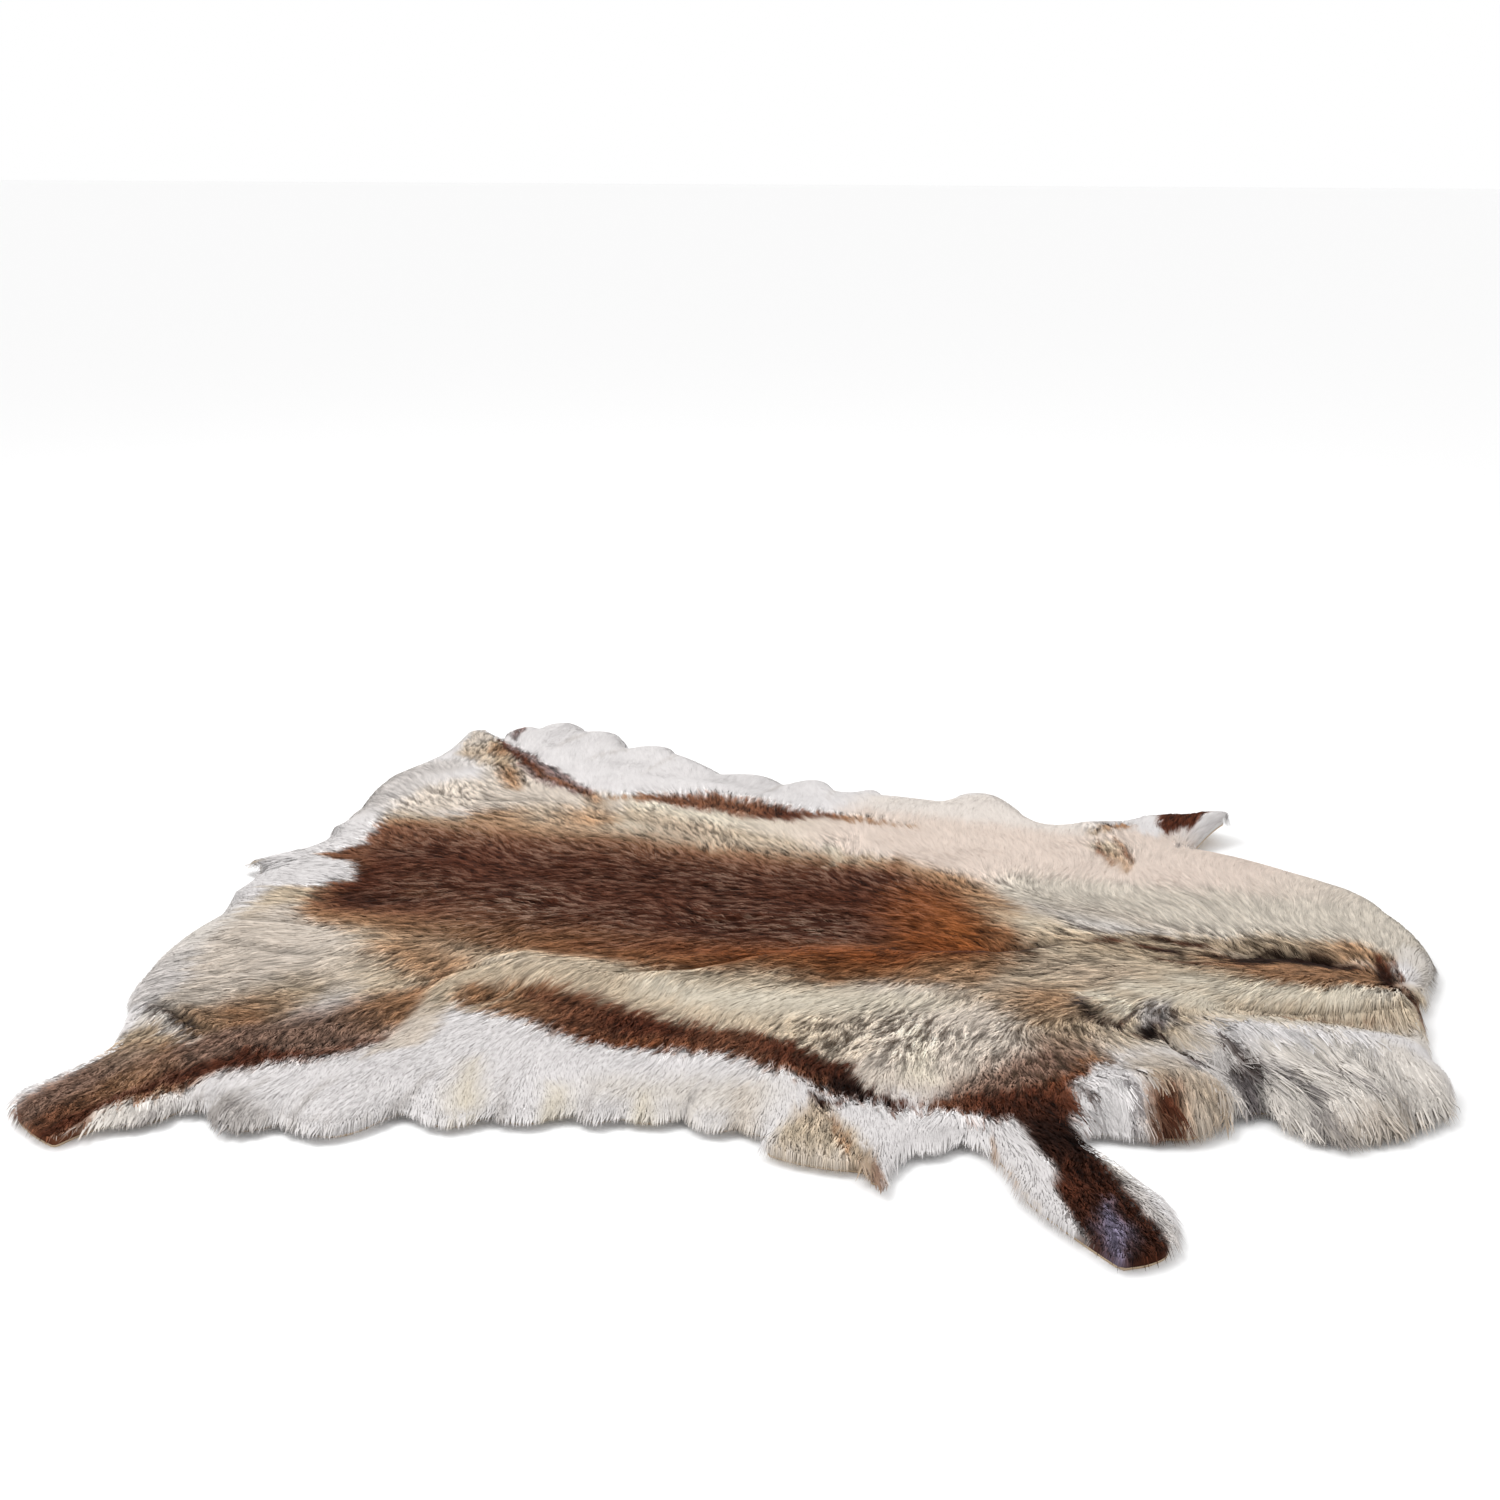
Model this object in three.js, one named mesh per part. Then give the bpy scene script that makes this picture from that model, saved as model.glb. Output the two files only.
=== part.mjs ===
// A reindeer hide, tanned with its hair on, lying flat with the hair side up.
//
// One solid: its underside is the flesh side of the leather, flat on the surface except where a
// fold or the curled foreleg lifts it, and its upper side is the reach of the hair.
// Millimetres. +X runs along the spine from tail to neck, +Y to the animal's left, +Z is up.
// The tables count x from the root of the tail and y from the spine. The finished hide is then
// moved so that the origin is the middle of its box, on the surface that it lies on.
import * as THREE from 'three';

// ---- driving sizes ----
const CELL = 23; // spacing of the grid that both surfaces are worked out on
const EDGE_STEP = 9; // spacing of the points along the edge
const SNAP = 0.3; // a grid point this share of a cell from the edge is moved onto it
const RIM = 6; // height of the hair right at the edge
const ROLL = 40; // distance in from the edge over which the hair rises to its full depth
const BACK_DEPTH = 24; // leather and hair over the back
const BELLY_DEPTH = 19; // leather and hair over the flanks and belly
const BACK_HALF_WIDTH = 200; // the back's depth holds this far either side of the spine
const BELLY_FROM = 430; // the belly's depth holds from here outwards
const UNEVENNESS = 1.8; // how far the low swells of the hair rise and fall
const SWELL = 55; // size of those swells, a wave being about six times this long

// ---- the edge, walked anticlockwise, so the hide is always on the left hand ----
// A row starts one stretch that runs to the next row. bow is how far its middle swells out of
// the hide, or draws in where it is negative.
const TAIL_AND_RIGHT_RUMP = [
  { x: -38, y: -42, bow: 2 },
  { x: -6, y: -54, bow: -2 },
  { x: -4, y: -130, bow: -2 },
  { x: 17, y: -190, bow: 9 },
  { x: 26, y: -345, bow: 6 },
  { x: 58, y: -420, bow: -2 },
];
const RIGHT_HIND_LEG = [
  { x: 84, y: -488, bow: -3 },
  { x: 57, y: -582, bow: 10 },
  { x: 88, y: -636, bow: 3 },
  { x: 147, y: -661, bow: -3 },
  { x: 168, y: -612, bow: 10 },
];
const RIGHT_BELLY = [
  { x: 216, y: -568, bow: 8 },
  { x: 238, y: -556, bow: 29 },
  { x: 309, y: -567, bow: 28 },
  { x: 396, y: -530, bow: -4 },
  { x: 410, y: -519, bow: 20 },
  { x: 479, y: -505, bow: 6 },
  { x: 524, y: -501, bow: -4 },
  { x: 554, y: -480, bow: 4 },
  { x: 575, y: -489, bow: -2 },
  { x: 592, y: -474, bow: 11 },
  { x: 645, y: -452, bow: 17 },
  { x: 695, y: -461, bow: 2 },
];
const RIGHT_ARMPIT = [
  { x: 721, y: -468, bow: 4 },
  { x: 722, y: -495, bow: 6 },
  { x: 811, y: -501, bow: 2 },
  { x: 826, y: -523, bow: 6 },
  { x: 840, y: -497, bow: -2 },
  { x: 846, y: -457, bow: 8 },
  { x: 878, y: -432, bow: -4 },
];
const RIGHT_FORELEG = [
  { x: 900, y: -434, bow: -4 },
  { x: 944, y: -505, bow: 2 },
  { x: 1031, y: -583, bow: 3 },
  { x: 1044, y: -580, bow: 4 },
  { x: 1077, y: -550, bow: 15 },
  { x: 1038, y: -450, bow: 2 },
  { x: 992, y: -405, bow: -3 },
];
const CHEST = [
  { x: 988, y: -382, bow: 4 },
  { x: 1078, y: -370, bow: 9 },
  { x: 1096, y: -318, bow: -2 },
];
const NECK = [
  { x: 1140, y: -300, bow: -3 },
  { x: 1178, y: -320, bow: 16 },
  { x: 1254, y: -292, bow: 10 },
  { x: 1294, y: -225, bow: 5 },
  { x: 1275, y: -190, bow: 2 },
  { x: 1272, y: -60, bow: 2 },
  { x: 1292, y: 40, bow: 10 },
  { x: 1246, y: 182, bow: 4 },
  { x: 1204, y: 244, bow: 8 },
];
const LEFT_FORELEG = [
  { x: 1030, y: 330, bow: -4 },
  { x: 1072, y: 392, bow: 4 },
  { x: 1015, y: 444, bow: 8 },
  { x: 955, y: 436, bow: -3 },
  { x: 930, y: 406, bow: 1 },
];
const LEFT_BELLY = [
  { x: 885, y: 388, bow: -24 },
  { x: 812, y: 395, bow: 3 },
  { x: 770, y: 452, bow: 12 },
  { x: 718, y: 443, bow: -4 },
  { x: 700, y: 414, bow: 2 },
  { x: 625, y: 417, bow: 16 },
  { x: 590, y: 420, bow: -4 },
  { x: 563, y: 415, bow: 32 },
  { x: 490, y: 420, bow: 20 },
  { x: 400, y: 436, bow: 4 },
  { x: 310, y: 505, bow: 6 },
  { x: 282, y: 530, bow: 8 },
  { x: 238, y: 508, bow: 2 },
  { x: 215, y: 550, bow: 14 },
  { x: 155, y: 565, bow: 4 },
  { x: 115, y: 598, bow: 10 },
];
const LEFT_HIND_LEG = [
  { x: 82, y: 560, bow: 5 },
  { x: 56, y: 560, bow: 8 },
  { x: 48, y: 505, bow: -2 },
  { x: 12, y: 533, bow: 8 },
  { x: -12, y: 510, bow: -3 },
];
const LEFT_RUMP = [
  { x: -3, y: 400, bow: -2 },
  { x: -22, y: 300, bow: 5 },
  { x: 0, y: 165, bow: 2 },
  { x: 5, y: 120, bow: -1 },
  { x: 0, y: 90, bow: -4 },
  { x: 13, y: 48, bow: -3 },
  { x: -6, y: 8, bow: 2 },
];

// ---- where the hair is longer or shorter than on the trunk ----
// depth is that of leather and hair together at the middle of the spot, reach its radius.
const DEPTH_SPOTS = [
  { part: 'tail', x: -5, y: -25, reach: 100, depth: 24 },
  { part: 'right hind leg', x: 105, y: -590, reach: 160, depth: 15 },
  { part: 'left hind leg', x: 15, y: 480, reach: 160, depth: 16 },
  { part: 'right foreleg', x: 1015, y: -510, reach: 140, depth: 13 },
  { part: 'left foreleg', x: 1015, y: 400, reach: 120, depth: 13 },
  { part: 'chest tuft', x: 1035, y: -330, reach: 90, depth: 32 },
  { part: 'mane', x: 1185, y: -235, reach: 150, depth: 34 },
];

// ---- folds, where the skin itself rises off the surface ----
// The rows of one part are its sections in order: its line, half its width and its rise there.
const FOLDS = [
  { part: 'flank fold', x: 295, y: -375, half: 34, rise: 2 },
  { part: 'flank fold', x: 345, y: -300, half: 46, rise: 8 },
  { part: 'flank fold', x: 400, y: -238, half: 52, rise: 10 },
  { part: 'flank fold', x: 480, y: -240, half: 52, rise: 8 },
  { part: 'flank fold', x: 650, y: -155, half: 48, rise: 10 },
  { part: 'flank fold', x: 740, y: -120, half: 44, rise: 6 },
  { part: 'flank fold', x: 840, y: -80, half: 46, rise: 9 },
  { part: 'flank fold', x: 920, y: -38, half: 34, rise: 2 },
  { part: 'hock wrinkle', x: 62, y: -398, half: 30, rise: 3 },
  { part: 'hock wrinkle', x: 110, y: -425, half: 38, rise: 8 },
  { part: 'hock wrinkle', x: 180, y: -440, half: 30, rise: 2 },
  { part: 'mane roll', x: 1045, y: -170, half: 45, rise: 4 },
  { part: 'mane roll', x: 1110, y: -185, half: 60, rise: 14 },
  { part: 'mane roll', x: 1265, y: -185, half: 55, rise: 11 },
  { part: 'neck roll', x: 1050, y: -45, half: 34, rise: 2 },
  { part: 'neck roll', x: 1150, y: -55, half: 50, rise: 9 },
  { part: 'neck roll', x: 1250, y: -68, half: 46, rise: 8 },
  { part: 'chest roll', x: 1005, y: -338, half: 48, rise: 6 },
  { part: 'chest roll', x: 1062, y: -322, half: 58, rise: 10 },
  { part: 'curled foreleg', x: 965, y: 345, half: 40, rise: 2 },
  { part: 'curled foreleg', x: 1008, y: 392, half: 60, rise: 17 },
  { part: 'curled foreleg', x: 1062, y: 402, half: 60, rise: 27 },
  { part: 'left flank fold', x: 290, y: 350, half: 34, rise: 1 },
  { part: 'left flank fold', x: 430, y: 345, half: 50, rise: 7 },
  { part: 'left flank fold', x: 580, y: 325, half: 36, rise: 2 },
];

// ---- partings, where the hair opens and its upper side dips, given in the same way ----
const PARTINGS = [
  { part: 'flank parting', x: 490, y: -225, half: 24, drop: 3 },
  { part: 'flank parting', x: 560, y: -190, half: 27, drop: 8 },
  { part: 'flank parting', x: 645, y: -128, half: 24, drop: 4 },
  { part: 'shoulder parting', x: 760, y: -84, half: 24, drop: 3 },
  { part: 'shoulder parting', x: 850, y: -52, half: 27, drop: 8 },
  { part: 'shoulder parting', x: 910, y: -15, half: 24, drop: 3 },
  { part: 'neck parting', x: 1095, y: -115, half: 28, drop: 4 },
  { part: 'neck parting', x: 1250, y: -122, half: 32, drop: 9 },
  { part: 'mane parting', x: 1058, y: -215, half: 26, drop: 8 },
  { part: 'mane parting', x: 1122, y: -302, half: 26, drop: 6 },
  { part: 'crest parting', x: 1090, y: 18, half: 24, drop: 4 },
  { part: 'crest parting', x: 1190, y: 20, half: 26, drop: 7 },
  { part: 'leg parting', x: 58, y: 492, half: 26, drop: 6 },
  { part: 'leg parting', x: 200, y: 380, half: 26, drop: 3 },
];

// The edge as points: the straight line between two rows plus a parabola bow * 4t(1 - t).
function edgePoints(rows) {
  return rows.flatMap((row, index) => {
    const next = rows[(index + 1) % rows.length];
    const start = new THREE.Vector2(row.x, row.y);
    const chord = new THREE.Vector2(next.x, next.y).sub(start);
    const outward = new THREE.Vector2(chord.y, -chord.x).normalize();
    const steps = Math.max(2, Math.round(chord.length() / EDGE_STEP));
    return Array.from({ length: steps }, (_, step) => {
      const t = step / steps;
      const swell = row.bow * 4 * t * (1 - t);
      return start.clone().addScaledVector(chord, t).addScaledVector(outward, swell);
    });
  });
}

const EDGE = edgePoints([
  ...TAIL_AND_RIGHT_RUMP,
  ...RIGHT_HIND_LEG,
  ...RIGHT_BELLY,
  ...RIGHT_ARMPIT,
  ...RIGHT_FORELEG,
  ...CHEST,
  ...NECK,
  ...LEFT_FORELEG,
  ...LEFT_BELLY,
  ...LEFT_HIND_LEG,
  ...LEFT_RUMP,
]);

// Where a point is nearest to the straight line from a to b: the share t of the way along it, the
// nearest point there, and the distance to it.
function nearestOnLine(point, a, b) {
  const along = new THREE.Vector2(b.x - a.x, b.y - a.y);
  const offset = new THREE.Vector2(point.x - a.x, point.y - a.y);
  const t = THREE.MathUtils.clamp(offset.dot(along) / along.lengthSq(), 0, 1);
  const nearest = new THREE.Vector2(a.x, a.y).addScaledVector(along, t);
  return { t, nearest, distance: nearest.distanceTo(point) };
}

// The nearest point of the edge, and the distance to it: positive inside the hide.
function measureToEdge(point) {
  let nearest = EDGE[0];
  let distance = Infinity;
  let inside = false;
  EDGE.forEach((a, index) => {
    const b = EDGE[(index + 1) % EDGE.length];
    const candidate = nearestOnLine(point, a, b);
    if (candidate.distance < distance) ({ nearest, distance } = candidate);
    const crosses = a.y > point.y !== b.y > point.y;
    const crossingX = a.x + ((b.x - a.x) * (point.y - a.y)) / (b.y - a.y);
    if (crosses && point.x < crossingX) inside = !inside;
  });
  return { nearest, depth: inside ? distance : -distance };
}

// A smooth hump: 1 at its middle and 0 from the given reach outwards.
function hump(distance, reach) {
  const s = Math.min(distance / reach, 1);
  return (1 - s * s) ** 2;
}

// The height of the highest of several humps that run along lines, section by section.
function alongSections(point, rows, height) {
  const heights = rows.slice(1).map((row, index) => {
    const before = rows[index];
    if (before.part !== row.part) return 0;
    const { t, distance } = nearestOnLine(point, before, row);
    const half = THREE.MathUtils.lerp(before.half, row.half, t);
    return THREE.MathUtils.lerp(before[height], row[height], t) * hump(distance, half);
  });
  return Math.max(...heights);
}

// How far the flesh side is lifted off the surface.
function liftAt(point) {
  return alongSections(point, FOLDS, 'rise');
}

// The low swells of the hair all over the hide: two wandering waves, one along each axis.
function unevennessAt(point) {
  const along = Math.sin(point.x / SWELL + 1.3 * Math.sin(point.y / (1.4 * SWELL)));
  const across = Math.sin(point.y / (1.2 * SWELL) + 0.9 * Math.sin(point.x / (1.6 * SWELL)));
  return UNEVENNESS * along * across;
}

// Leather and hair together, away from the edge.
function fullDepthAt(point) {
  const belly = THREE.MathUtils.smoothstep(Math.abs(point.y), BACK_HALF_WIDTH, BELLY_FROM);
  let depth = THREE.MathUtils.lerp(BACK_DEPTH, BELLY_DEPTH, belly);
  for (const spot of DEPTH_SPOTS) {
    const distance = Math.hypot(point.x - spot.x, point.y - spot.y);
    depth = THREE.MathUtils.lerp(depth, spot.depth, hump(distance, spot.reach));
  }
  return depth + unevennessAt(point) - alongSections(point, PARTINGS, 'drop');
}

// The depth with its rounded edge: a quarter ellipse from RIM up to the full depth.
function depthAt(point, inFromEdge) {
  const s = THREE.MathUtils.clamp(inFromEdge / ROLL, 0, 1);
  const rise = Math.sqrt(1 - (1 - s) ** 2);
  return RIM + (Math.max(fullDepthAt(point), RIM) - RIM) * rise;
}

// The plan of the hide: grid points inside it, with those near the edge moved onto it, and the
// points where grid lines cross the edge, joined by triangles that turn anticlockwise.
function planMesh() {
  const box = new THREE.Box2().setFromPoints(EDGE).expandByScalar(CELL);
  const size = box.getSize(new THREE.Vector2());
  const columns = Math.ceil(size.x / CELL);
  const rows = Math.ceil(size.y / CELL);
  const points = [];
  const crossings = new Map();

  const grid = Array.from({ length: columns + 1 }, (_, i) =>
    Array.from({ length: rows + 1 }, (_, j) => {
      const home = new THREE.Vector2(box.min.x + i * CELL, box.min.y + j * CELL);
      const { nearest, depth } = measureToEdge(home);
      const onEdge = Math.abs(depth) < SNAP * CELL;
      const state = onEdge ? 'edge' : depth > 0 ? 'inside' : 'outside';
      const node = { home, state, name: `${i},${j}` };
      if (state !== 'outside') node.index = points.push(onEdge ? nearest : home) - 1;
      return node;
    }),
  );

  // The point where the grid line between an inside and an outside node crosses the edge.
  function crossing(inner, outer) {
    const name = [inner.name, outer.name].sort().join(' ');
    if (!crossings.has(name)) {
      let near = inner.home.clone();
      let far = outer.home.clone();
      for (let halving = 0; halving < 12; halving += 1) {
        const middle = near.clone().lerp(far, 0.5);
        if (measureToEdge(middle).depth > 0) near = middle;
        else far = middle;
      }
      crossings.set(name, points.push(near) - 1);
    }
    return crossings.get(name);
  }

  // The corners of one cell's share of the hide, in anticlockwise order.
  function shareOfCell(corners) {
    return corners.flatMap((corner, side) => {
      const next = corners[(side + 1) % corners.length];
      const share = corner.state === 'outside' ? [] : [corner.index];
      if (corner.state === 'inside' && next.state === 'outside') share.push(crossing(corner, next));
      if (corner.state === 'outside' && next.state === 'inside') share.push(crossing(next, corner));
      return share;
    });
  }

  const triangles = [];
  for (let i = 0; i < columns; i += 1) {
    for (let j = 0; j < rows; j += 1) {
      const corners = [grid[i][j], grid[i + 1][j], grid[i + 1][j + 1], grid[i][j + 1]];
      const share = shareOfCell(corners);
      if (share.length < 3) continue;
      const centre = new THREE.Vector2();
      share.forEach((index) => centre.addScaledVector(points[index], 1 / share.length));
      const holdsInside = corners.some((corner) => corner.state === 'inside');
      if (!holdsInside && measureToEdge(centre).depth <= 0) continue;
      for (let k = 1; k + 1 < share.length; k += 1) triangles.push([share[0], share[k], share[k + 1]]);
    }
  }
  return { points, triangles };
}

// The sides of triangles that no second triangle shares, each in the direction of its triangle.
function openSides(triangles) {
  const sides = new Map();
  for (const [a, b, c] of triangles) {
    for (const [from, to] of [[a, b], [b, c], [c, a]]) sides.set(`${from} ${to}`, [from, to]);
  }
  return [...sides.values()].filter(([from, to]) => !sides.has(`${to} ${from}`));
}

// The closed solid: the upper side, the flesh side below it and a low wall round the edge.
function hideGeometry() {
  const { points, triangles } = planMesh();
  const below = points.length;
  const lifts = points.map(liftAt);
  const upper = points.map((point, index) => {
    const inFromEdge = Math.max(measureToEdge(point).depth, 0);
    return [point.x, point.y, lifts[index] + depthAt(point, inFromEdge)];
  });
  const lower = points.map((point, index) => [point.x, point.y, lifts[index]]);
  const faces = triangles.flatMap(([a, b, c]) => [
    [a, b, c],
    [a + below, c + below, b + below],
  ]);
  const wall = openSides(triangles).flatMap(([from, to]) => [
    [from, from + below, to + below],
    [from, to + below, to],
  ]);
  const geometry = new THREE.BufferGeometry();
  const positions = new THREE.Float32BufferAttribute([...upper, ...lower].flat(), 3);
  geometry.setAttribute('position', positions);
  geometry.setIndex([...faces, ...wall].flat());
  geometry.computeBoundingBox();
  const middle = geometry.boundingBox.getCenter(new THREE.Vector3());
  geometry.translate(-middle.x, -middle.y, -geometry.boundingBox.min.z);
  geometry.computeVertexNormals();
  return geometry;
}

const coat = new THREE.MeshStandardMaterial({ color: '#a58d78', roughness: 0.9, metalness: 0 });
const hide = new THREE.Mesh(hideGeometry(), coat);
hide.name = 'hide';

const reindeerHide = new THREE.Group();
reindeerHide.add(hide);
export default reindeerHide;
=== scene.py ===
import math

import bpy
import numpy as np
from bpy.props import FloatProperty, FloatVectorProperty, IntProperty, PointerProperty
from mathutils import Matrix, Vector


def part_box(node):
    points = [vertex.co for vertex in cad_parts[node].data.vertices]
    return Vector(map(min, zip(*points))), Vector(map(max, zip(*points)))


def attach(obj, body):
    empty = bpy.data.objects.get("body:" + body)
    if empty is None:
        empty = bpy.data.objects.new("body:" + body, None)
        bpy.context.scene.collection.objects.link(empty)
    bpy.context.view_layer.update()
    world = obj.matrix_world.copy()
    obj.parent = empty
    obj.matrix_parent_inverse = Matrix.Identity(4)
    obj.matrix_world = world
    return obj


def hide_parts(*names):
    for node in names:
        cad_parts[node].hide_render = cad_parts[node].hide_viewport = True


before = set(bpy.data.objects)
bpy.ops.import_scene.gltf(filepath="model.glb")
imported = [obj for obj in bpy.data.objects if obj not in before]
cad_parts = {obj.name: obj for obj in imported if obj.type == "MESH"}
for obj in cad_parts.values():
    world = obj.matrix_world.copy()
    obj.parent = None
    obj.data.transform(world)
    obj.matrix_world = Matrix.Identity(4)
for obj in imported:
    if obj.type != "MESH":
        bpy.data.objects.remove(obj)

bl_info = {
    "name": "Reindeer Hide",
    "version": (1, 0, 0),
    "blender": (4, 5, 0),
    "location": "3D View > Sidebar > Hide",
    "description": "Leather, underfur, hair and a plain studio for a tanned reindeer hide",
    "category": "Object",
}

# Lengths in the tables are in millimetres. x counts from the root of the tail along the spine
# towards the neck, and y from the spine towards the animal's left. The CAD part's tables count
# in the same way, and hide_origin() gives the place of their zero in the row frame.

# ---- the edge of the hair, walked anticlockwise: x, y, bow of the stretch to the next row ----
EDGE_ROWS = {
    "tail and right rump": [
        (-38, -42, 2), (-6, -54, -2), (-4, -130, -2), (17, -190, 9), (26, -345, 6),
        (58, -420, -2),
    ],
    "right hind leg": [
        (84, -488, -3), (57, -582, 10), (88, -636, 3), (147, -661, -3), (168, -612, 10),
    ],
    "right belly": [
        (216, -568, 8), (238, -556, 29), (309, -567, 28), (396, -530, -4), (410, -519, 20),
        (479, -505, 6), (524, -501, -4), (554, -480, 4), (575, -489, -2), (592, -474, 11),
        (645, -452, 17), (695, -461, 2),
    ],
    "right armpit": [
        (721, -468, 4), (722, -495, 6), (811, -501, 2), (826, -523, 6), (840, -497, -2),
        (846, -457, 8), (878, -432, -4),
    ],
    "right foreleg": [
        (900, -434, -4), (944, -505, 2), (1031, -583, 3), (1044, -580, 4), (1077, -550, 15),
        (1038, -450, 2), (992, -405, -3),
    ],
    "chest": [(988, -382, 4), (1078, -370, 9), (1096, -318, -2)],
    "neck": [
        (1140, -300, -3), (1178, -320, 16), (1254, -292, 10), (1294, -225, 5),
        (1275, -190, 2), (1272, -60, 2), (1292, 40, 10), (1246, 182, 4), (1204, 244, 8),
    ],
    "left foreleg": [
        (1030, 330, -4), (1072, 392, 4), (1015, 444, 8), (955, 436, -3), (930, 406, 1),
    ],
    "left belly": [
        (885, 388, -24), (812, 395, 3), (770, 452, 12), (718, 443, -4), (700, 414, 2),
        (625, 417, 16), (590, 420, -4), (563, 415, 32), (490, 420, 20), (400, 436, 4),
        (310, 505, 6), (282, 530, 8), (238, 508, 2), (215, 550, 14), (155, 565, 4),
        (115, 598, 10),
    ],
    "left hind leg": [
        (82, 560, 5), (56, 560, 8), (48, 505, -2), (12, 533, 8), (-12, 510, -3),
    ],
    "left rump": [
        (-3, 400, -2), (-22, 300, 5), (0, 165, 2), (5, 120, -1), (0, 90, -4), (13, 48, -3),
        (-6, 8, 2),
    ],
}

EDGE_STEP = 9.0  # length of the short lines that stand for the edge

# ---- depth of leather and hair together ----
RIM = 11.0  # at the very edge
ROLL = 40.0  # distance in from the edge over which it reaches its full depth
BACK_DEPTH = 24.0  # over the back
BELLY_DEPTH = 19.0  # over the flanks and belly
BACK_HALF_WIDTH = 200.0  # the back's depth holds this far either side of the spine
BELLY_FROM = 430.0  # the belly's depth holds from here outwards
UNEVENNESS = 1.8  # how far its low swells rise and fall
SWELL = 55.0  # size of those swells

# Where it is deeper or shallower: x, y, reach, depth.
DEPTH_SPOTS = {
    "tail": (-5, -25, 100, 24),
    "right hind leg": (105, -590, 160, 15),
    "left hind leg": (15, 480, 160, 16),
    "right foreleg": (1015, -510, 140, 13),
    "left foreleg": (1015, 400, 120, 13),
    "chest tuft": (1035, -330, 90, 32),
    "mane": (1185, -235, 150, 34),
}

# Folds, where the leather itself rises off the surface: x, y, half width, rise.
FOLDS = {
    "flank fold": [
        (295, -375, 34, 2), (345, -300, 46, 8), (400, -238, 52, 10), (480, -240, 52, 8),
        (650, -155, 48, 10), (740, -120, 44, 6), (840, -80, 46, 9), (920, -38, 34, 2),
    ],
    "hock wrinkle": [(62, -398, 30, 3), (110, -425, 38, 8), (180, -440, 30, 2)],
    "mane roll": [(1045, -170, 45, 4), (1110, -190, 60, 10), (1265, -190, 55, 8)],
    "neck roll": [(1050, -45, 34, 2), (1150, -55, 50, 9), (1250, -68, 46, 8)],
    "chest roll": [(1005, -338, 48, 6), (1062, -322, 58, 10)],
    "curled foreleg": [(965, 345, 40, 2), (1008, 392, 60, 17), (1062, 402, 60, 27)],
    "left flank fold": [(290, 350, 34, 1), (430, 345, 50, 7), (580, 325, 36, 2)],
}

# Partings, where the hair opens: x, y, half width, drop.
PARTINGS = {
    "flank parting": [(490, -225, 24, 3), (560, -190, 27, 8), (645, -128, 24, 4)],
    "shoulder parting": [(760, -84, 24, 3), (850, -52, 27, 8), (910, -15, 24, 3)],
    "neck parting": [(1095, -115, 28, 4), (1250, -122, 32, 9)],
    "mane parting": [(1058, -215, 26, 8), (1122, -302, 26, 6)],
    "crest parting": [(1090, 18, 24, 4), (1190, 20, 26, 7)],
    "leg parting": [(58, 492, 26, 6), (200, 380, 26, 3)],
}

# Fine creases that only the hair shows, given in the same way.
CREASES = {
    "flank crease": [
        (500, -230, 6, 3), (540, -206, 8, 7), (575, -186, 8, 7), (615, -150, 8, 8),
        (655, -136, 6, 3),
    ],
    "side crease": [(510, -92, 7, 2), (590, -45, 8, 3)],
    "shoulder crease": [
        (765, -82, 6, 3), (840, -60, 8, 7), (880, -34, 9, 8), (905, -14, 6, 3),
    ],
    "hock crease": [(70, -405, 7, 4), (100, -418, 8, 6), (150, -442, 8, 5), (180, -448, 5, 2)],
    "thigh crease": [(295, -302, 6, 3), (335, -286, 8, 7), (365, -255, 8, 6), (400, -222, 7, 3)],
    "scar": [(955, -150, 5, 3), (968, -170, 7, 6), (990, -165, 5, 3)],
    "collar": [(1035, -195, 7, 6), (1055, -232, 8, 7)],
    "mane line": [(1084, -184, 7, 4), (1100, -215, 9, 7), (1118, -265, 9, 7), (1134, -308, 7, 4)],
    "mane stroke a": [(1148, -204, 5, 3), (1180, -240, 5, 4), (1200, -292, 4, 2)],
    "mane stroke b": [(1185, -206, 5, 3), (1228, -246, 5, 4), (1255, -290, 4, 2)],
    "rump gap": [(84, -6, 4, 1), (96, -18, 5, 4), (108, -42, 4, 3)],
    "rump under": [(112, -52, 5, 4), (96, -68, 6, 5), (86, -90, 5, 3)],
    "crest": [(1085, -4, 6, 4), (1130, 24, 9, 6), (1152, 33, 9, 6), (1195, 14, 6, 3)],
    "neck valley": [(1095, -120, 6, 4), (1150, -108, 6, 4), (1250, -85, 7, 4)],
    "neck end": [(1228, 40, 7, 4), (1240, -4, 8, 6), (1264, -70, 7, 5)],
    "rump ripple a": [(60, -205, 10, 2), (120, -195, 10, 3), (160, -205, 8, 1)],
    "rump ripple b": [(60, -262, 10, 2), (140, -270, 10, 3), (230, -255, 8, 1)],
    "rump ripple c": [(130, -320, 10, 2), (190, -330, 10, 3), (250, -345, 8, 2)],
    "thigh ripple a": [(220, -420, 8, 2), (270, -390, 9, 3), (320, -375, 7, 2)],
    "thigh ripple b": [(210, -455, 8, 2), (270, -435, 8, 3), (310, -400, 7, 1)],
    "left rump ripple": [(60, 240, 9, 2), (150, 225, 9, 3), (240, 250, 8, 2)],
}

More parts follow.
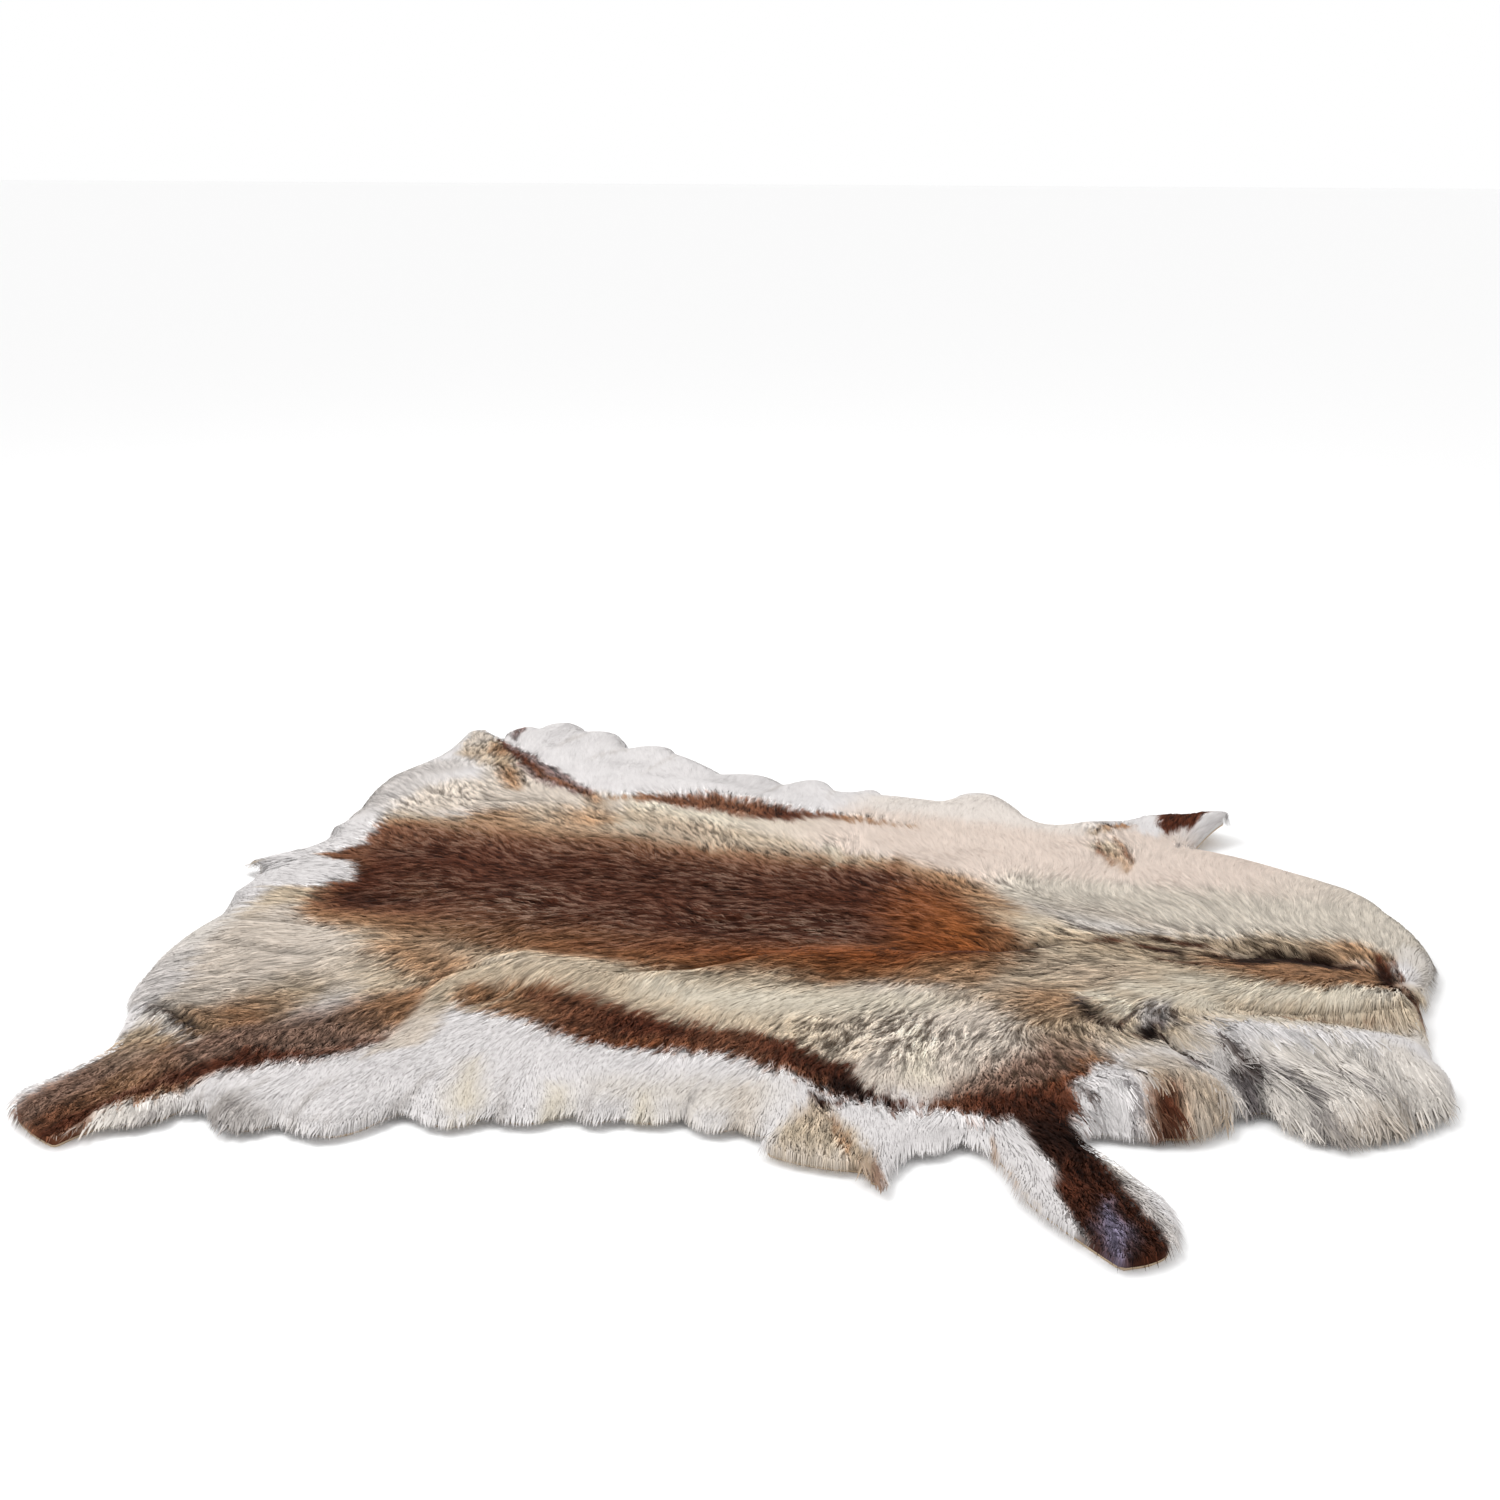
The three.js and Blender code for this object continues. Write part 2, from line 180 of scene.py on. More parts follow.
# Which way the hair lies: x, y, and the step along x and y from root to tip.
LIE = [
    (-10, -20, -1.0, -0.3), (40, 70, -0.8, 0.5), (40, -60, -0.8, -0.4),
    (200, 0, -1.0, 0.0), (450, 0, -1.0, 0.0), (700, 0, -1.0, 0.0), (900, 0, -1.0, 0.1),
    (200, 160, -0.9, 0.4), (450, 170, -0.8, 0.6), (700, 170, -0.7, 0.7),
    (200, -160, -0.9, -0.4), (450, -160, -0.8, -0.5), (700, -160, -0.8, -0.5),
    (30, 260, -0.7, 0.6), (20, 460, -0.3, 0.9), (150, 330, -0.5, 0.8), (60, 540, 0.0, 1.0),
    (250, 450, -0.2, 1.0), (450, 400, -0.1, 1.0), (620, 380, -0.1, 1.0), (760, 400, -0.2, 1.0),
    (420, 270, -0.5, 0.8), (650, 280, -0.4, 0.9), (850, 250, -0.4, 0.9), (860, 350, -0.3, 1.0),
    (60, -250, -0.9, -0.4), (60, -380, -0.5, -0.8), (200, -330, -0.6, -0.8),
    (110, -480, -0.2, -1.0), (110, -600, 0.0, -1.0), (180, -520, 0.2, -1.0),
    (260, -560, 0.1, -1.0), (340, -480, 0.1, -1.0), (420, -420, 0.1, -1.0),
    (600, -420, 0.1, -1.0), (440, -510, 0.1, -1.0), (700, -430, 0.1, -1.0),
    (380, -280, -0.4, -0.9), (500, -300, -0.3, -0.9), (650, -290, -0.2, -1.0),
    (760, -300, -0.2, -1.0), (850, -250, -0.3, -0.9), (900, -340, 0.1, -1.0),
    (780, -460, 0.1, -1.0), (830, -510, 0.1, -1.0), (880, -420, 0.3, -1.0),
    (960, -420, 0.5, -0.9), (1010, -500, 0.6, -0.8), (1050, -570, 0.5, -0.9),
    (960, 230, -0.2, 1.0), (1000, 330, 0.0, 1.0), (1010, 420, 0.3, 1.0), (1060, 400, 0.7, 0.6),
    (1000, 130, -0.3, 0.9), (1130, 140, -0.1, 1.0), (1230, 130, 0.0, 1.0), (1120, 240, 0.1, 1.0),
    (1000, 0, -0.9, 0.3), (1150, 20, -0.8, 0.4), (1210, 20, -0.6, 0.5), (1262, 30, 0.3, 0.8),
    (1272, -60, 0.4, -0.7),
    (950, -90, -0.9, -0.4), (1050, -70, -0.7, -0.6), (1150, -60, -0.4, -0.8),
    (1230, -80, -0.1, -0.9), (1080, -150, 0.1, -0.9), (1160, -150, 0.4, -0.9),
    (1240, -160, 0.5, -0.8), (1110, -250, 0.5, -0.9), (1200, -250, 0.6, -0.8),
    (1260, -230, 0.8, -0.5), (960, -280, 0.3, -0.9), (1010, -330, 0.8, -0.5),
    (1070, -330, 0.5, -0.8), (1060, -270, 0.7, -0.5),
]
LIE_REACH = 75.0  # how far one row's say carries
LIE_TURNS = ((0.7, 85, 11), (0.8, 34, 12))  # to and fro: how far in radians, over what size, seed
COMB_STEPS = 6  # steps each way along the hair for a streak
COMB = (2.6, 5.0, 2.8, 61)  # fine streaks: width, reach along the hair, gain, seed
WISP = (13.0, 55.0, 2.6, 71)  # wisps, which are broader streaks: the same
COMB_RELIEF = 1.1  # how far the tips rise and fall with the streaks
WISP_RELIEF = 2.4  # and with the wisps
SPLAY = 24.0  # within this distance of the edge the hair turns out over it
SPLAY_STEP = 1.3  # how strongly, against the lie of the hair
SILKY_EVEN = 0.85  # share by which tufts and turns are less in the pale silky coat

# Locks longer than the coat: x, y, reach, length, how far they may pass the edge, their share.
LONG_LOCKS = {
    "mane top": (1130, -165, 75, 62, 0, 1.0),
    "mane": (1160, -235, 95, 78, 8, 1.6),
    "mane low": (1215, -265, 70, 62, 6, 1.0),
    "mane root": (1085, -195, 50, 70, 0, 0.9),
    "mane tip": (1160, -292, 26, 62, 24, 0.5),
    "chest": (1000, -335, 48, 46, 2, 0.8),
    "armpit": (840, -420, 42, 38, 6, 0.6),
    "armpit tip": (826, -495, 20, 34, 8, 0.3),
    "elbow": (880, -415, 26, 30, 6, 0.3),
    "tail": (0, -25, 42, 32, 8, 0.5),
    "flap": (185, -600, 40, 36, 8, 0.5),
    "flap low": (255, -545, 44, 40, 6, 0.6),
    "belly a": (330, -520, 50, 38, 4, 0.6),
    "belly b": (420, -480, 50, 38, 4, 0.6),
    "belly c": (510, -465, 50, 38, 4, 0.6),
    "belly d": (600, -440, 50, 36, 4, 0.6),
    "belly e": (680, -425, 40, 34, 4, 0.4),
}

# ---- the coat's colours ----
# Each mark runs along its rows: colour, x, y, half width, width of its soft border. Later marks
# lie over earlier ones. OVERHANG is how far a mark, which shows at the tips, is from the roots.
OVERHANG = (4.0, -14.0)
BORDER_MOVES = ((10.0, 28), (5.0, 9))  # how far borders wander, each over what size
STREAK_MOVE = 17.0  # how far they run to and fro along the hair, by its streaks
SILKY_FROM = 0.28  # the coat begins to be silky at this lightness
SILKY_SPAN = 0.3  # and is wholly silky when it is this much lighter
GETS_OUT = 0.88  # share of the light sent back by a hair that leaves the coat
COLOURS = {
    "snow": (208, 204, 203), "chalk": (203, 196, 188), "pearl": (186, 180, 176),
    "milk": (214, 205, 197), "cream": (208, 192, 180), "ivory": (204, 194, 176),
    "bone": (192, 183, 170), "oat": (199, 187, 174), "sand": (190, 173, 150),
    "stone": (180, 169, 157), "buff": (172, 154, 134), "olive": (158, 140, 118),
    "tan": (164, 130, 100), "fawn": (141, 105, 77), "taupe": (122, 96, 82),
    "bronze": (122, 80, 52), "gold": (138, 80, 42), "rust": (122, 68, 36),
    "chestnut": (112, 67, 43), "brown": (104, 67, 48), "umber": (76, 40, 26),
    "bark": (58, 30, 19), "black": (28, 14, 9), "ash": (150, 144, 140),
    "slate": (88, 82, 82), "plum": (118, 98, 94), "steel": (118, 110, 130),
}

MARKS = {
    "trunk": [
        ("sand", 110, -40, 190, 50), ("sand", 300, -10, 215, 40), ("sand", 620, -20, 215, 40),
        ("sand", 900, -110, 150, 60), ("sand", 1250, -60, 60, 50)],
    "left shoulder": [
        ("cream", 700, 300, 110, 60), ("cream", 880, 240, 150, 60), ("cream", 1060, 220, 130, 60),
        ("bone", 1200, 140, 100, 60)],
    "left shoulder edge": [
        ("milk", 640, 385, 40, 50), ("milk", 760, 400, 60, 50), ("milk", 880, 370, 30, 50)],
    "left neck": [
        ("bone", 860, 130, 50, 60), ("bone", 1040, 115, 70, 60), ("bone", 1180, 125, 60, 60)],
    "left neck shade": [("stone", 900, 95, 8, 50), ("stone", 1040, 60, 6, 44)],
    "left band": [
        ("ivory", 315, 245, 55, 40), ("ivory", 450, 235, 50, 40), ("cream", 620, 240, 60, 40),
        ("cream", 700, 240, 40, 50)],
    "left band rear": [
        ("sand", 310, 250, 20, 50), ("buff", 430, 208, 28, 42), ("sand", 560, 195, 12, 40)],
    "left rump": [
        ("oat", 75, 200, 44, 50), ("oat", 110, 250, 70, 50), ("oat", 200, 270, 60, 40),
        ("oat", 290, 260, 40, 30)],
    "left thigh": [
        ("oat", 160, 320, 44, 26), ("stone", 110, 385, 32, 26), ("buff", 55, 440, 38, 24),
        ("stone", 24, 490, 28, 18), ("stone", 8, 520, 18, 14)],
    "left thigh olive": [
        ("olive", 42, 490, 6, 16), ("fawn", 70, 450, 15, 20), ("olive", 92, 408, 12, 24),
        ("fawn", 130, 350, 12, 22), ("tan", 155, 305, 14, 30)],
    "left rump tan": [
        ("tan", 180, 178, 26, 50), ("buff", 240, 195, 46, 50), ("tan", 300, 205, 34, 36),
        ("buff", 288, 262, 14, 28), ("fawn", 268, 295, 7, 18)],
    "left stripe": [
        ("plum", 48, 502, 4, 8), ("plum", 85, 462, 10, 10), ("plum", 120, 425, 15, 12),
        ("plum", 160, 382, 22, 16), ("plum", 200, 345, 21, 18), ("plum", 252, 305, 13, 16)],
    "left stripe dark": [
        ("bark", 44, 505, 2, 6), ("umber", 85, 452, 5, 8), ("umber", 125, 410, 7, 10),
        ("brown", 165, 365, 5, 12), ("brown", 262, 298, 5, 12)],
    "left stripe far": [
        ("slate", 140, 420, 3, 8), ("slate", 178, 386, 5, 10), ("plum", 210, 355, 3, 10)],
    "left toe": [("plum", 50, 565, 6, 12), ("plum", 58, 535, 9, 12), ("slate", 66, 512, 4, 10)],
    "right agouti": [
        ("sand", 330, -275, 50, 36), ("sand", 420, -262, 44, 30), ("sand", 540, -262, 46, 26),
        ("sand", 680, -262, 76, 26), ("oat", 800, -250, 116, 34), ("oat", 870, -230, 115, 40)],
    "right cream": [
        ("ivory", 530, -232, 12, 30), ("ivory", 650, -230, 28, 40), ("ivory", 740, -205, 26, 44),
        ("ivory", 820, -180, 16, 50)],
    "right cream low": [("ivory", 800, -236, 1, 30), ("ivory", 828, -322, 14, 36)],
    "shoulder": [
        ("buff", 850, -140, 34, 60), ("tan", 915, -152, 40, 60), ("olive", 945, -200, 34, 50),
        ("taupe", 945, -260, 32, 54), ("taupe", 930, -305, 48, 54), ("taupe", 880, -345, 22, 44)],
    "shoulder crest": [("buff", 880, -60, 16, 50), ("buff", 970, -80, 34, 60)],
    "right rump": [
        ("oat", 90, -175, 36, 30), ("oat", 115, -240, 80, 34), ("oat", 150, -310, 80, 40),
        ("stone", 112, -395, 38, 30)],
    "right rump warm": [("oat", 170, -225, 30, 60), ("sand", 280, -270, 56, 50)],
    "right rump olive": [
        ("olive", 195, -330, 32, 70), ("fawn", 175, -395, 40, 50), ("olive", 112, -460, 28, 26),
        ("taupe", 112, -530, 32, 18), ("taupe", 104, -600, 34, 18), ("taupe", 115, -652, 24, 12)],
    "right thigh": [
        ("fawn", 335, -300, 18, 36), ("fawn", 305, -345, 40, 50), ("taupe", 275, -395, 44, 44),
        ("taupe", 228, -436, 44, 34), ("taupe", 178, -480, 40, 26), ("fawn", 152, -540, 34, 20),
        ("brown", 126, -610, 28, 18), ("brown", 122, -655, 22, 12)],
    "leg dark side": [
        ("brown", 330, -395, 3, 22), ("umber", 275, -450, 7, 22), ("umber", 222, -470, 18, 18),
        ("umber", 176, -520, 10, 16), ("umber", 150, -566, 7, 14), ("umber", 130, -615, 8, 14),
        ("bark", 118, -660, 8, 12)],
    "leg wrinkles": [("olive", 90, -470, 5, 12), ("fawn", 140, -478, 6, 18)],
    "leg toe": [("umber", 76, -612, 4, 14), ("umber", 100, -645, 6, 14)],
    "thigh fold": [
        ("sand", 352, -272, 12, 16), ("sand", 343, -315, 14, 18), ("oat", 346, -360, 16, 18),
        ("oat", 345, -405, 16, 16), ("oat", 335, -434, 10, 12)],
    "flap edge": [
        ("chalk", 146, -664, 8, 8), ("chalk", 176, -594, 28, 9), ("snow", 238, -546, 36, 9),
        ("snow", 300, -512, 38, 9), ("snow", 372, -452, 42, 10), ("snow", 425, -402, 42, 12)],
    # painted shade: grey over the lower part of the white flap beside the right hind leg
    "flap shade": [
        ("stone", 150, -650, 4, 12), ("ash", 185, -602, 10, 26), ("ash", 250, -554, 26, 34),
        ("pearl", 300, -560, 10, 34)],
    "flap streaks": [("ash", 150, -636, 2, 10), ("slate", 196, -574, 1, 12)],
    "flap streaks far": [("ash", 214, -600, 1, 12), ("slate", 262, -548, 1, 12)],
    "flap tips": [("slate", 220, -560, 1, 7), ("slate", 230, -590, 5, 9)],
    "flap tips far": [("slate", 246, -572, 1, 6), ("slate", 250, -596, 3, 8)],
    "saddle tan": [
        ("buff", 90, 30, 132, 36), ("tan", 200, 20, 158, 46), ("buff", 400, 20, 166, 46),
        ("buff", 600, 20, 166, 36), ("tan", 700, 20, 150, 50)],
    "saddle warm": [
        ("fawn", 110, 25, 118, 40), ("fawn", 300, 10, 142, 56), ("fawn", 600, 10, 152, 52),
        ("fawn", 710, 10, 140, 56), ("bronze", 790, -35, 84, 56)],
    "saddle warm near": [
        ("fawn", 140, -125, 50, 40), ("fawn", 260, -140, 46, 60), ("bronze", 420, -138, 52, 50),
        ("bronze", 560, -130, 54, 38), ("bronze", 700, -116, 50, 44), ("tan", 815, -98, 34, 50)],
    "thigh tan": [
        ("tan", 250, -212, 30, 56), ("tan", 310, -242, 34, 44), ("fawn", 332, -276, 10, 24)],
    "saddle brown": [
        ("brown", 105, 50, 76, 40), ("brown", 300, 20, 114, 50), ("brown", 600, 15, 128, 46),
        ("brown", 700, 20, 100, 56)],
    "saddle brown near": [
        ("brown", 140, -95, 46, 36), ("brown", 220, -104, 36, 50), ("brown", 420, -88, 34, 56),
        ("brown", 620, -90, 50, 46), ("brown", 740, -70, 40, 56)],
    "saddle": [
        ("umber", 160, 45, 44, 50), ("umber", 240, 15, 80, 60), ("umber", 400, 0, 92, 56),
        ("umber", 600, 5, 102, 52), ("umber", 670, 15, 82, 56)],
    "saddle rear": [
        ("brown", 104, 80, 26, 26), ("umber", 122, 10, 22, 22), ("umber", 148, -65, 40, 22),
        ("bark", 140, -110, 20, 34), ("umber", 250, -86, 10, 50)],
    "front lobe": [
        ("umber", 650, 80, 44, 46), ("umber", 684, 115, 34, 40), ("chestnut", 696, 148, 9, 30),
        ("tan", 698, 186, 8, 24)],
    "right side rust": [
        ("chestnut", 430, -148, 4, 36), ("chestnut", 500, -132, 14, 46),
        ("rust", 620, -125, 22, 46), ("rust", 720, -105, 30, 52), ("rust", 800, -65, 24, 46)],
    "front rust": [
        ("rust", 735, 80, 30, 60), ("rust", 765, 20, 52, 64), ("rust", 785, -30, 46, 50),
        ("rust", 830, -45, 16, 36), ("brown", 885, -28, 3, 24)],
    "front gold": [("gold", 760, 75, 4, 40), ("gold", 795, 15, 20, 50), ("gold", 818, -25, 12, 40)],
    "front fade": [("tan", 800, 95, 10, 60), ("sand", 850, 40, 10, 50), ("ivory", 866, 40, 10, 50)],
    "notch": [("ivory", 612, 190, 10, 20), ("sand", 630, 158, 5, 13), ("sand", 620, 124, 1, 9)],
    "rear notch": [("oat", 48, 165, 8, 22), ("sand", 95, 152, 4, 18)],
    "rump patch": [
        ("snow", -30, -50, 26, 8), ("snow", 20, -52, 58, 9), ("snow", 58, -52, 46, 8),
        ("snow", 90, -49, 20, 7), ("snow", 112, -48, 3, 6)],
    "rump patch left": [
        ("snow", -24, 2, 22, 8), ("snow", 6, 20, 24, 8), ("snow", 28, 45, 36, 9),
        ("snow", 24, 110, 38, 16), ("pearl", 4, 190, 36, 34), ("pearl", -5, 300, 42, 44),
        ("pearl", 26, 360, 36, 36)],
    # painted shade: a dark line in the gap along the top of the white rump patch
    "rump gap": [("brown", 86, -8, 1, 6), ("bark", 96, -18, 2, 7), ("brown", 106, -32, 2, 7)],
    "rump shade": [
        ("olive", 112, -58, 3, 10), ("slate", 96, -70, 3, 10), ("olive", 86, -92, 4, 14)],
    "right rim": [
        ("snow", 5, -130, 34, 22), ("chalk", 24, -230, 24, 26), ("pearl", 42, -330, 26, 28),
        ("pearl", 68, -385, 17, 22)],
    "left rim": [("snow", -10, 400, 26, 24), ("snow", -12, 500, 9, 12)],
    "hock grey": [
        ("chalk", 84, -420, 7, 12), ("chalk", 118, -434, 7, 12), ("stone", 160, -452, 3, 12)],
    "hock": [
        ("slate", 74, -407, 4, 8), ("black", 102, -418, 3, 8), ("slate", 128, -432, 3, 9),
        ("black", 158, -446, 3, 8)],
    "right stripe soft": [
        ("fawn", 378, -302, 20, 24), ("fawn", 425, -292, 34, 22), ("brown", 480, -302, 38, 20),
        ("brown", 540, -318, 33, 18), ("brown", 600, -318, 25, 16), ("brown", 650, -317, 20, 16),
        ("brown", 700, -332, 23, 14), ("brown", 750, -358, 21, 12), ("umber", 790, -376, 12, 11),
        ("umber", 830, -386, 5, 8)],
    "right stripe": [
        ("brown", 425, -276, 8, 22), ("brown", 480, -290, 18, 22), ("umber", 530, -304, 19, 20),
        ("umber", 580, -308, 15, 20), ("brown", 640, -308, 12, 18), ("umber", 700, -324, 17, 13),
        ("bark", 750, -350, 16, 11), ("black", 775, -370, 12, 9), ("bark", 815, -382, 5, 8)],
    "stripe warm edge": [
        ("chestnut", 495, -342, 6, 12), ("chestnut", 560, -340, 8, 11),
        ("chestnut", 612, -332, 6, 10)],
    "stripe rear streaks": [("sand", 380, -322, 3, 12), ("sand", 408, -284, 2, 14)],
    "left stripe flank": [
        ("tan", 286, 280, 3, 12), ("fawn", 312, 302, 6, 16), ("brown", 360, 311, 16, 22),
        ("brown", 420, 312, 25, 24), ("brown", 480, 304, 31, 24), ("umber", 530, 300, 23, 22),
        ("brown", 575, 304, 11, 18), ("fawn", 605, 302, 8, 15), ("fawn", 640, 298, 6, 11),
        ("tan", 692, 300, 3, 9)],
    "right elbow": [
        ("brown", 845, -374, 8, 14), ("umber", 895, -366, 24, 20), ("umber", 945, -350, 32, 26),
        ("chestnut", 968, -290, 16, 24), ("fawn", 978, -250, 9, 18)],
    "armpit": [
        ("buff", 752, -415, 12, 16), ("sand", 765, -460, 34, 18), ("oat", 770, -495, 44, 16),
        ("buff", 812, -500, 12, 16)],
    "armpit white": [("snow", 815, -412, 22, 12), ("snow", 870, -422, 26, 12)],
    "armpit dark": [
        ("black", 740, -390, 4, 8), ("bark", 758, -404, 6, 8), ("umber", 775, -398, 3, 9)],
    "armpit streak": [
        ("fawn", 768, -424, 2, 8), ("fawn", 784, -448, 4, 9), ("tan", 798, -470, 4, 10)],
    "armpit tuft": [
        ("olive", 808, -470, 8, 16), ("taupe", 820, -498, 12, 18), ("olive", 833, -528, 11, 9)],
    "foreleg rear": [
        ("snow", 918, -425, 26, 12), ("snow", 952, -478, 26, 10), ("snow", 992, -536, 18, 9),
        ("snow", 1026, -584, 9, 8)],
    "foreleg rear line": [
        ("fawn", 908, -418, 1, 7), ("tan", 925, -462, 2, 9), ("stone", 955, -505, 1, 7)],
    "foreleg": [
        ("bark", 932, -366, 24, 14), ("black", 962, -400, 24, 9), ("bark", 990, -446, 24, 8),
        ("bark", 1008, -490, 30, 8), ("bark", 1032, -530, 31, 8), ("bark", 1050, -570, 22, 7),
        ("bark", 1046, -590, 12, 7)],
    "foreleg warm": [("umber", 974, -440, 4, 12), ("umber", 986, -486, 6, 14)],
    "foreleg sheen": [
        ("steel", 1014, -482, 2, 14), ("steel", 1024, -524, 17, 22), ("steel", 1030, -562, 3, 12)],
    "foreleg front": [
        ("chalk", 1002, -412, 5, 7), ("pearl", 1030, -458, 6, 8), ("pearl", 1063, -508, 5, 8),
        ("pearl", 1076, -548, 4, 7)],
    "chest": [
        ("stone", 1035, -262, 30, 22), ("buff", 1078, -310, 28, 24), ("stone", 1072, -365, 24, 20)],
    "chest white": [
        ("snow", 986, -278, 12, 14), ("snow", 985, -320, 24, 12), ("snow", 995, -362, 24, 12),
        ("snow", 1015, -392, 10, 10)],
    "chest halo": [("buff", 1030, -292, 10, 30), ("fawn", 1046, -346, 18, 34)],
    "chest patch": [("umber", 1042, -326, 11, 24), ("bark", 1046, -352, 13, 24)],
    "chest partings": [
        ("black", 962, -312, 1, 6), ("black", 976, -332, 2, 7), ("slate", 988, -356, 1, 6)],
    "chest partings far": [
        ("slate", 1000, -300, 1, 7), ("slate", 1016, -338, 2, 8), ("slate", 1020, -372, 1, 7)],
    "scar light": [("ivory", 958, -120, 12, 16), ("ivory", 988, -142, 14, 16)],
    "scar": [("slate", 946, -134, 5, 8), ("black", 955, -162, 6, 9), ("black", 988, -184, 6, 9)],
    "scar far": [("bark", 986, -172, 3, 7), ("slate", 1000, -148, 2, 7)],
    "collar grey": [("ash", 1020, -126, 14, 12), ("ash", 1018, -172, 16, 12)],
    "collar patch": [
        ("ash", 1010, -128, 3, 10), ("slate", 1026, -156, 1, 10), ("black", 1018, -190, 13, 10)],
    "collar patch far": [("black", 1034, -138, 2, 7), ("slate", 1040, -166, 3, 8)],
    "neck valley": [
        ("olive", 1090, -126, 3, 14), ("tan", 1142, -114, 3, 12), ("sand", 1200, -104, 4, 14),
        ("sand", 1262, -84, 5, 18)],
    # painted shade: a dark line along the valley of the neck beside the mane
    "neck valley shade": [
        ("bark", 1110, -120, 1, 7), ("bark", 1175, -110, 2, 8), ("fawn", 1240, -96, 1, 8)],
    "neck cream": [
        ("ivory", 1040, -65, 12, 34), ("ivory", 1110, -72, 16, 24), ("ivory", 1195, -62, 22, 26),
        ("bone", 1240, -46, 12, 22)],
    "collar": [("ivory", 1000, -96, 16, 36), ("ivory", 1060, -110, 22, 34)],
    "mane upper": [
        ("ivory", 1085, -140, 8, 40), ("bone", 1160, -140, 14, 44), ("chalk", 1262, -132, 24, 50)],
    "mane": [
        ("snow", 1072, -172, 14, 32), ("snow", 1150, -192, 34, 40), ("snow", 1245, -188, 34, 50)],
    "mane low": [
        ("pearl", 1085, -235, 26, 22), ("chalk", 1150, -255, 60, 26),
        ("chalk", 1225, -250, 70, 30)],
    "mane warm": [("stone", 1190, -305, 14, 26), ("stone", 1250, -285, 18, 26)],
    "mane grey": [
        ("ash", 1160, -232, 2, 12), ("slate", 1205, -250, 2, 14), ("ash", 1244, -262, 4, 18)],
    "mane grey low": [
        ("slate", 1130, -240, 2, 12), ("slate", 1162, -280, 3, 14), ("ash", 1196, -312, 3, 14)],
    "mane parting": [
        ("black", 1036, -196, 3, 7), ("black", 1052, -220, 4, 8), ("slate", 1064, -248, 3, 9)],
    "mane parting far": [
        ("slate", 1083, -186, 4, 12), ("black", 1096, -210, 5, 14), ("slate", 1106, -248, 12, 18),
        ("slate", 1120, -296, 8, 16)],
    "neck tan": [
        ("olive", 900, -5, 14, 36), ("olive", 980, 5, 28, 30), ("olive", 1030, 2, 32, 28),
        ("fawn", 1080, -8, 28, 36), ("fawn", 1150, -20, 38, 24), ("fawn", 1216, -4, 34, 24)],
    "neck tan far": [
        ("olive", 985, 32, 10, 26), ("olive", 1090, 42, 18, 26), ("olive", 1150, 56, 24, 26),
        ("tan", 1200, 60, 26, 26), ("tan", 1226, 50, 16, 20)],
    # painted shade: a dark line along the shoulder crease
    "shoulder line": [
        ("bark", 762, -84, 1, 6), ("bark", 800, -76, 3, 7), ("bark", 848, -58, 4, 8),
        ("black", 880, -34, 8, 9), ("black", 905, -16, 5, 8)],
    "shoulder line far": [
        ("slate", 868, 92, 1, 6), ("slate", 905, 64, 2, 7), ("slate", 938, 36, 1, 7)],
    "crest a": [("bark", 930, 4, 1, 7), ("bark", 966, 14, 5, 8)],
    "crest b": [("bark", 988, 6, 5, 8), ("black", 1030, 2, 7, 9)],
    "crest c": [("bark", 1000, 34, 4, 8), ("bark", 1056, 32, 5, 8)],
    "crest d": [("black", 1052, 8, 6, 8), ("bark", 1088, 12, 4, 8)],
    "crest e": [("bark", 1010, -20, 2, 7), ("bark", 1060, -22, 2, 7)],
    "crest f": [("black", 1072, -12, 4, 8), ("bark", 1110, -14, 2, 7)],
    "crest": [
        ("black", 1088, -2, 10, 12), ("black", 1112, 13, 16, 12), ("black", 1132, 26, 19, 12),
        ("black", 1156, 30, 20, 12), ("black", 1182, 26, 16, 12), ("bark", 1204, 18, 7, 10)],
    "neck end": [
        ("umber", 1226, 50, 5, 9), ("bark", 1234, 20, 9, 10), ("bark", 1244, -16, 8, 10),
        ("umber", 1262, -62, 5, 9), ("slate", 1270, -96, 2, 7)],
    "neck end far": [
        ("umber", 1240, 52, 1, 7), ("umber", 1254, 4, 2, 7), ("umber", 1265, -44, 1, 7)],
    "neck rim": [
        ("chalk", 1264, 76, 12, 12), ("chalk", 1282, 16, 10, 8), ("chalk", 1280, -50, 4, 7)],
    "left elbow": [
        ("cream", 900, 320, 12, 24), ("sand", 924, 300, 16, 30), ("tan", 944, 252, 5, 26),
        ("tan", 956, 226, 4, 14)],
    "left elbow streaks": [
        ("brown", 912, 318, 1, 9), ("brown", 925, 270, 3, 10), ("fawn", 938, 232, 2, 8)],
    "left elbow streaks far": [
        ("fawn", 930, 330, 1, 8), ("brown", 946, 282, 3, 10), ("fawn", 962, 240, 2, 8)],
    "left elbow far": [
        ("buff", 904, 348, 10, 16), ("fawn", 934, 388, 9, 12), ("fawn", 948, 396, 4, 9)],
    "left foreleg white": [("snow", 958, 440, 16, 9), ("snow", 972, 372, 18, 12)],
    "left foreleg": [
        ("umber", 990, 372, 10, 8), ("umber", 1000, 402, 27, 8), ("umber", 1006, 432, 34, 8),
        ("bark", 1006, 456, 34, 7)],
    "left foreleg edge": [
        ("snow", 1034, 352, 7, 8), ("snow", 1054, 398, 9, 7), ("snow", 1066, 432, 8, 7)],
    "left knee": [("slate", 1006, 334, 3, 8), ("ash", 1028, 338, 4, 8)],
    "belly warm": [("chalk", 560, -430, 14, 60), ("chalk", 680, -415, 34, 60)],
    "tint a": [("ivory", 425, -425, 6, 44), ("ivory", 450, -485, 14, 40)],
    "tint b": [("ivory", 520, -445, 5, 38), ("ivory", 540, -490, 14, 34)],
    "tint c": [("ivory", 600, -435, 5, 34), ("ivory", 610, -470, 12, 30)],
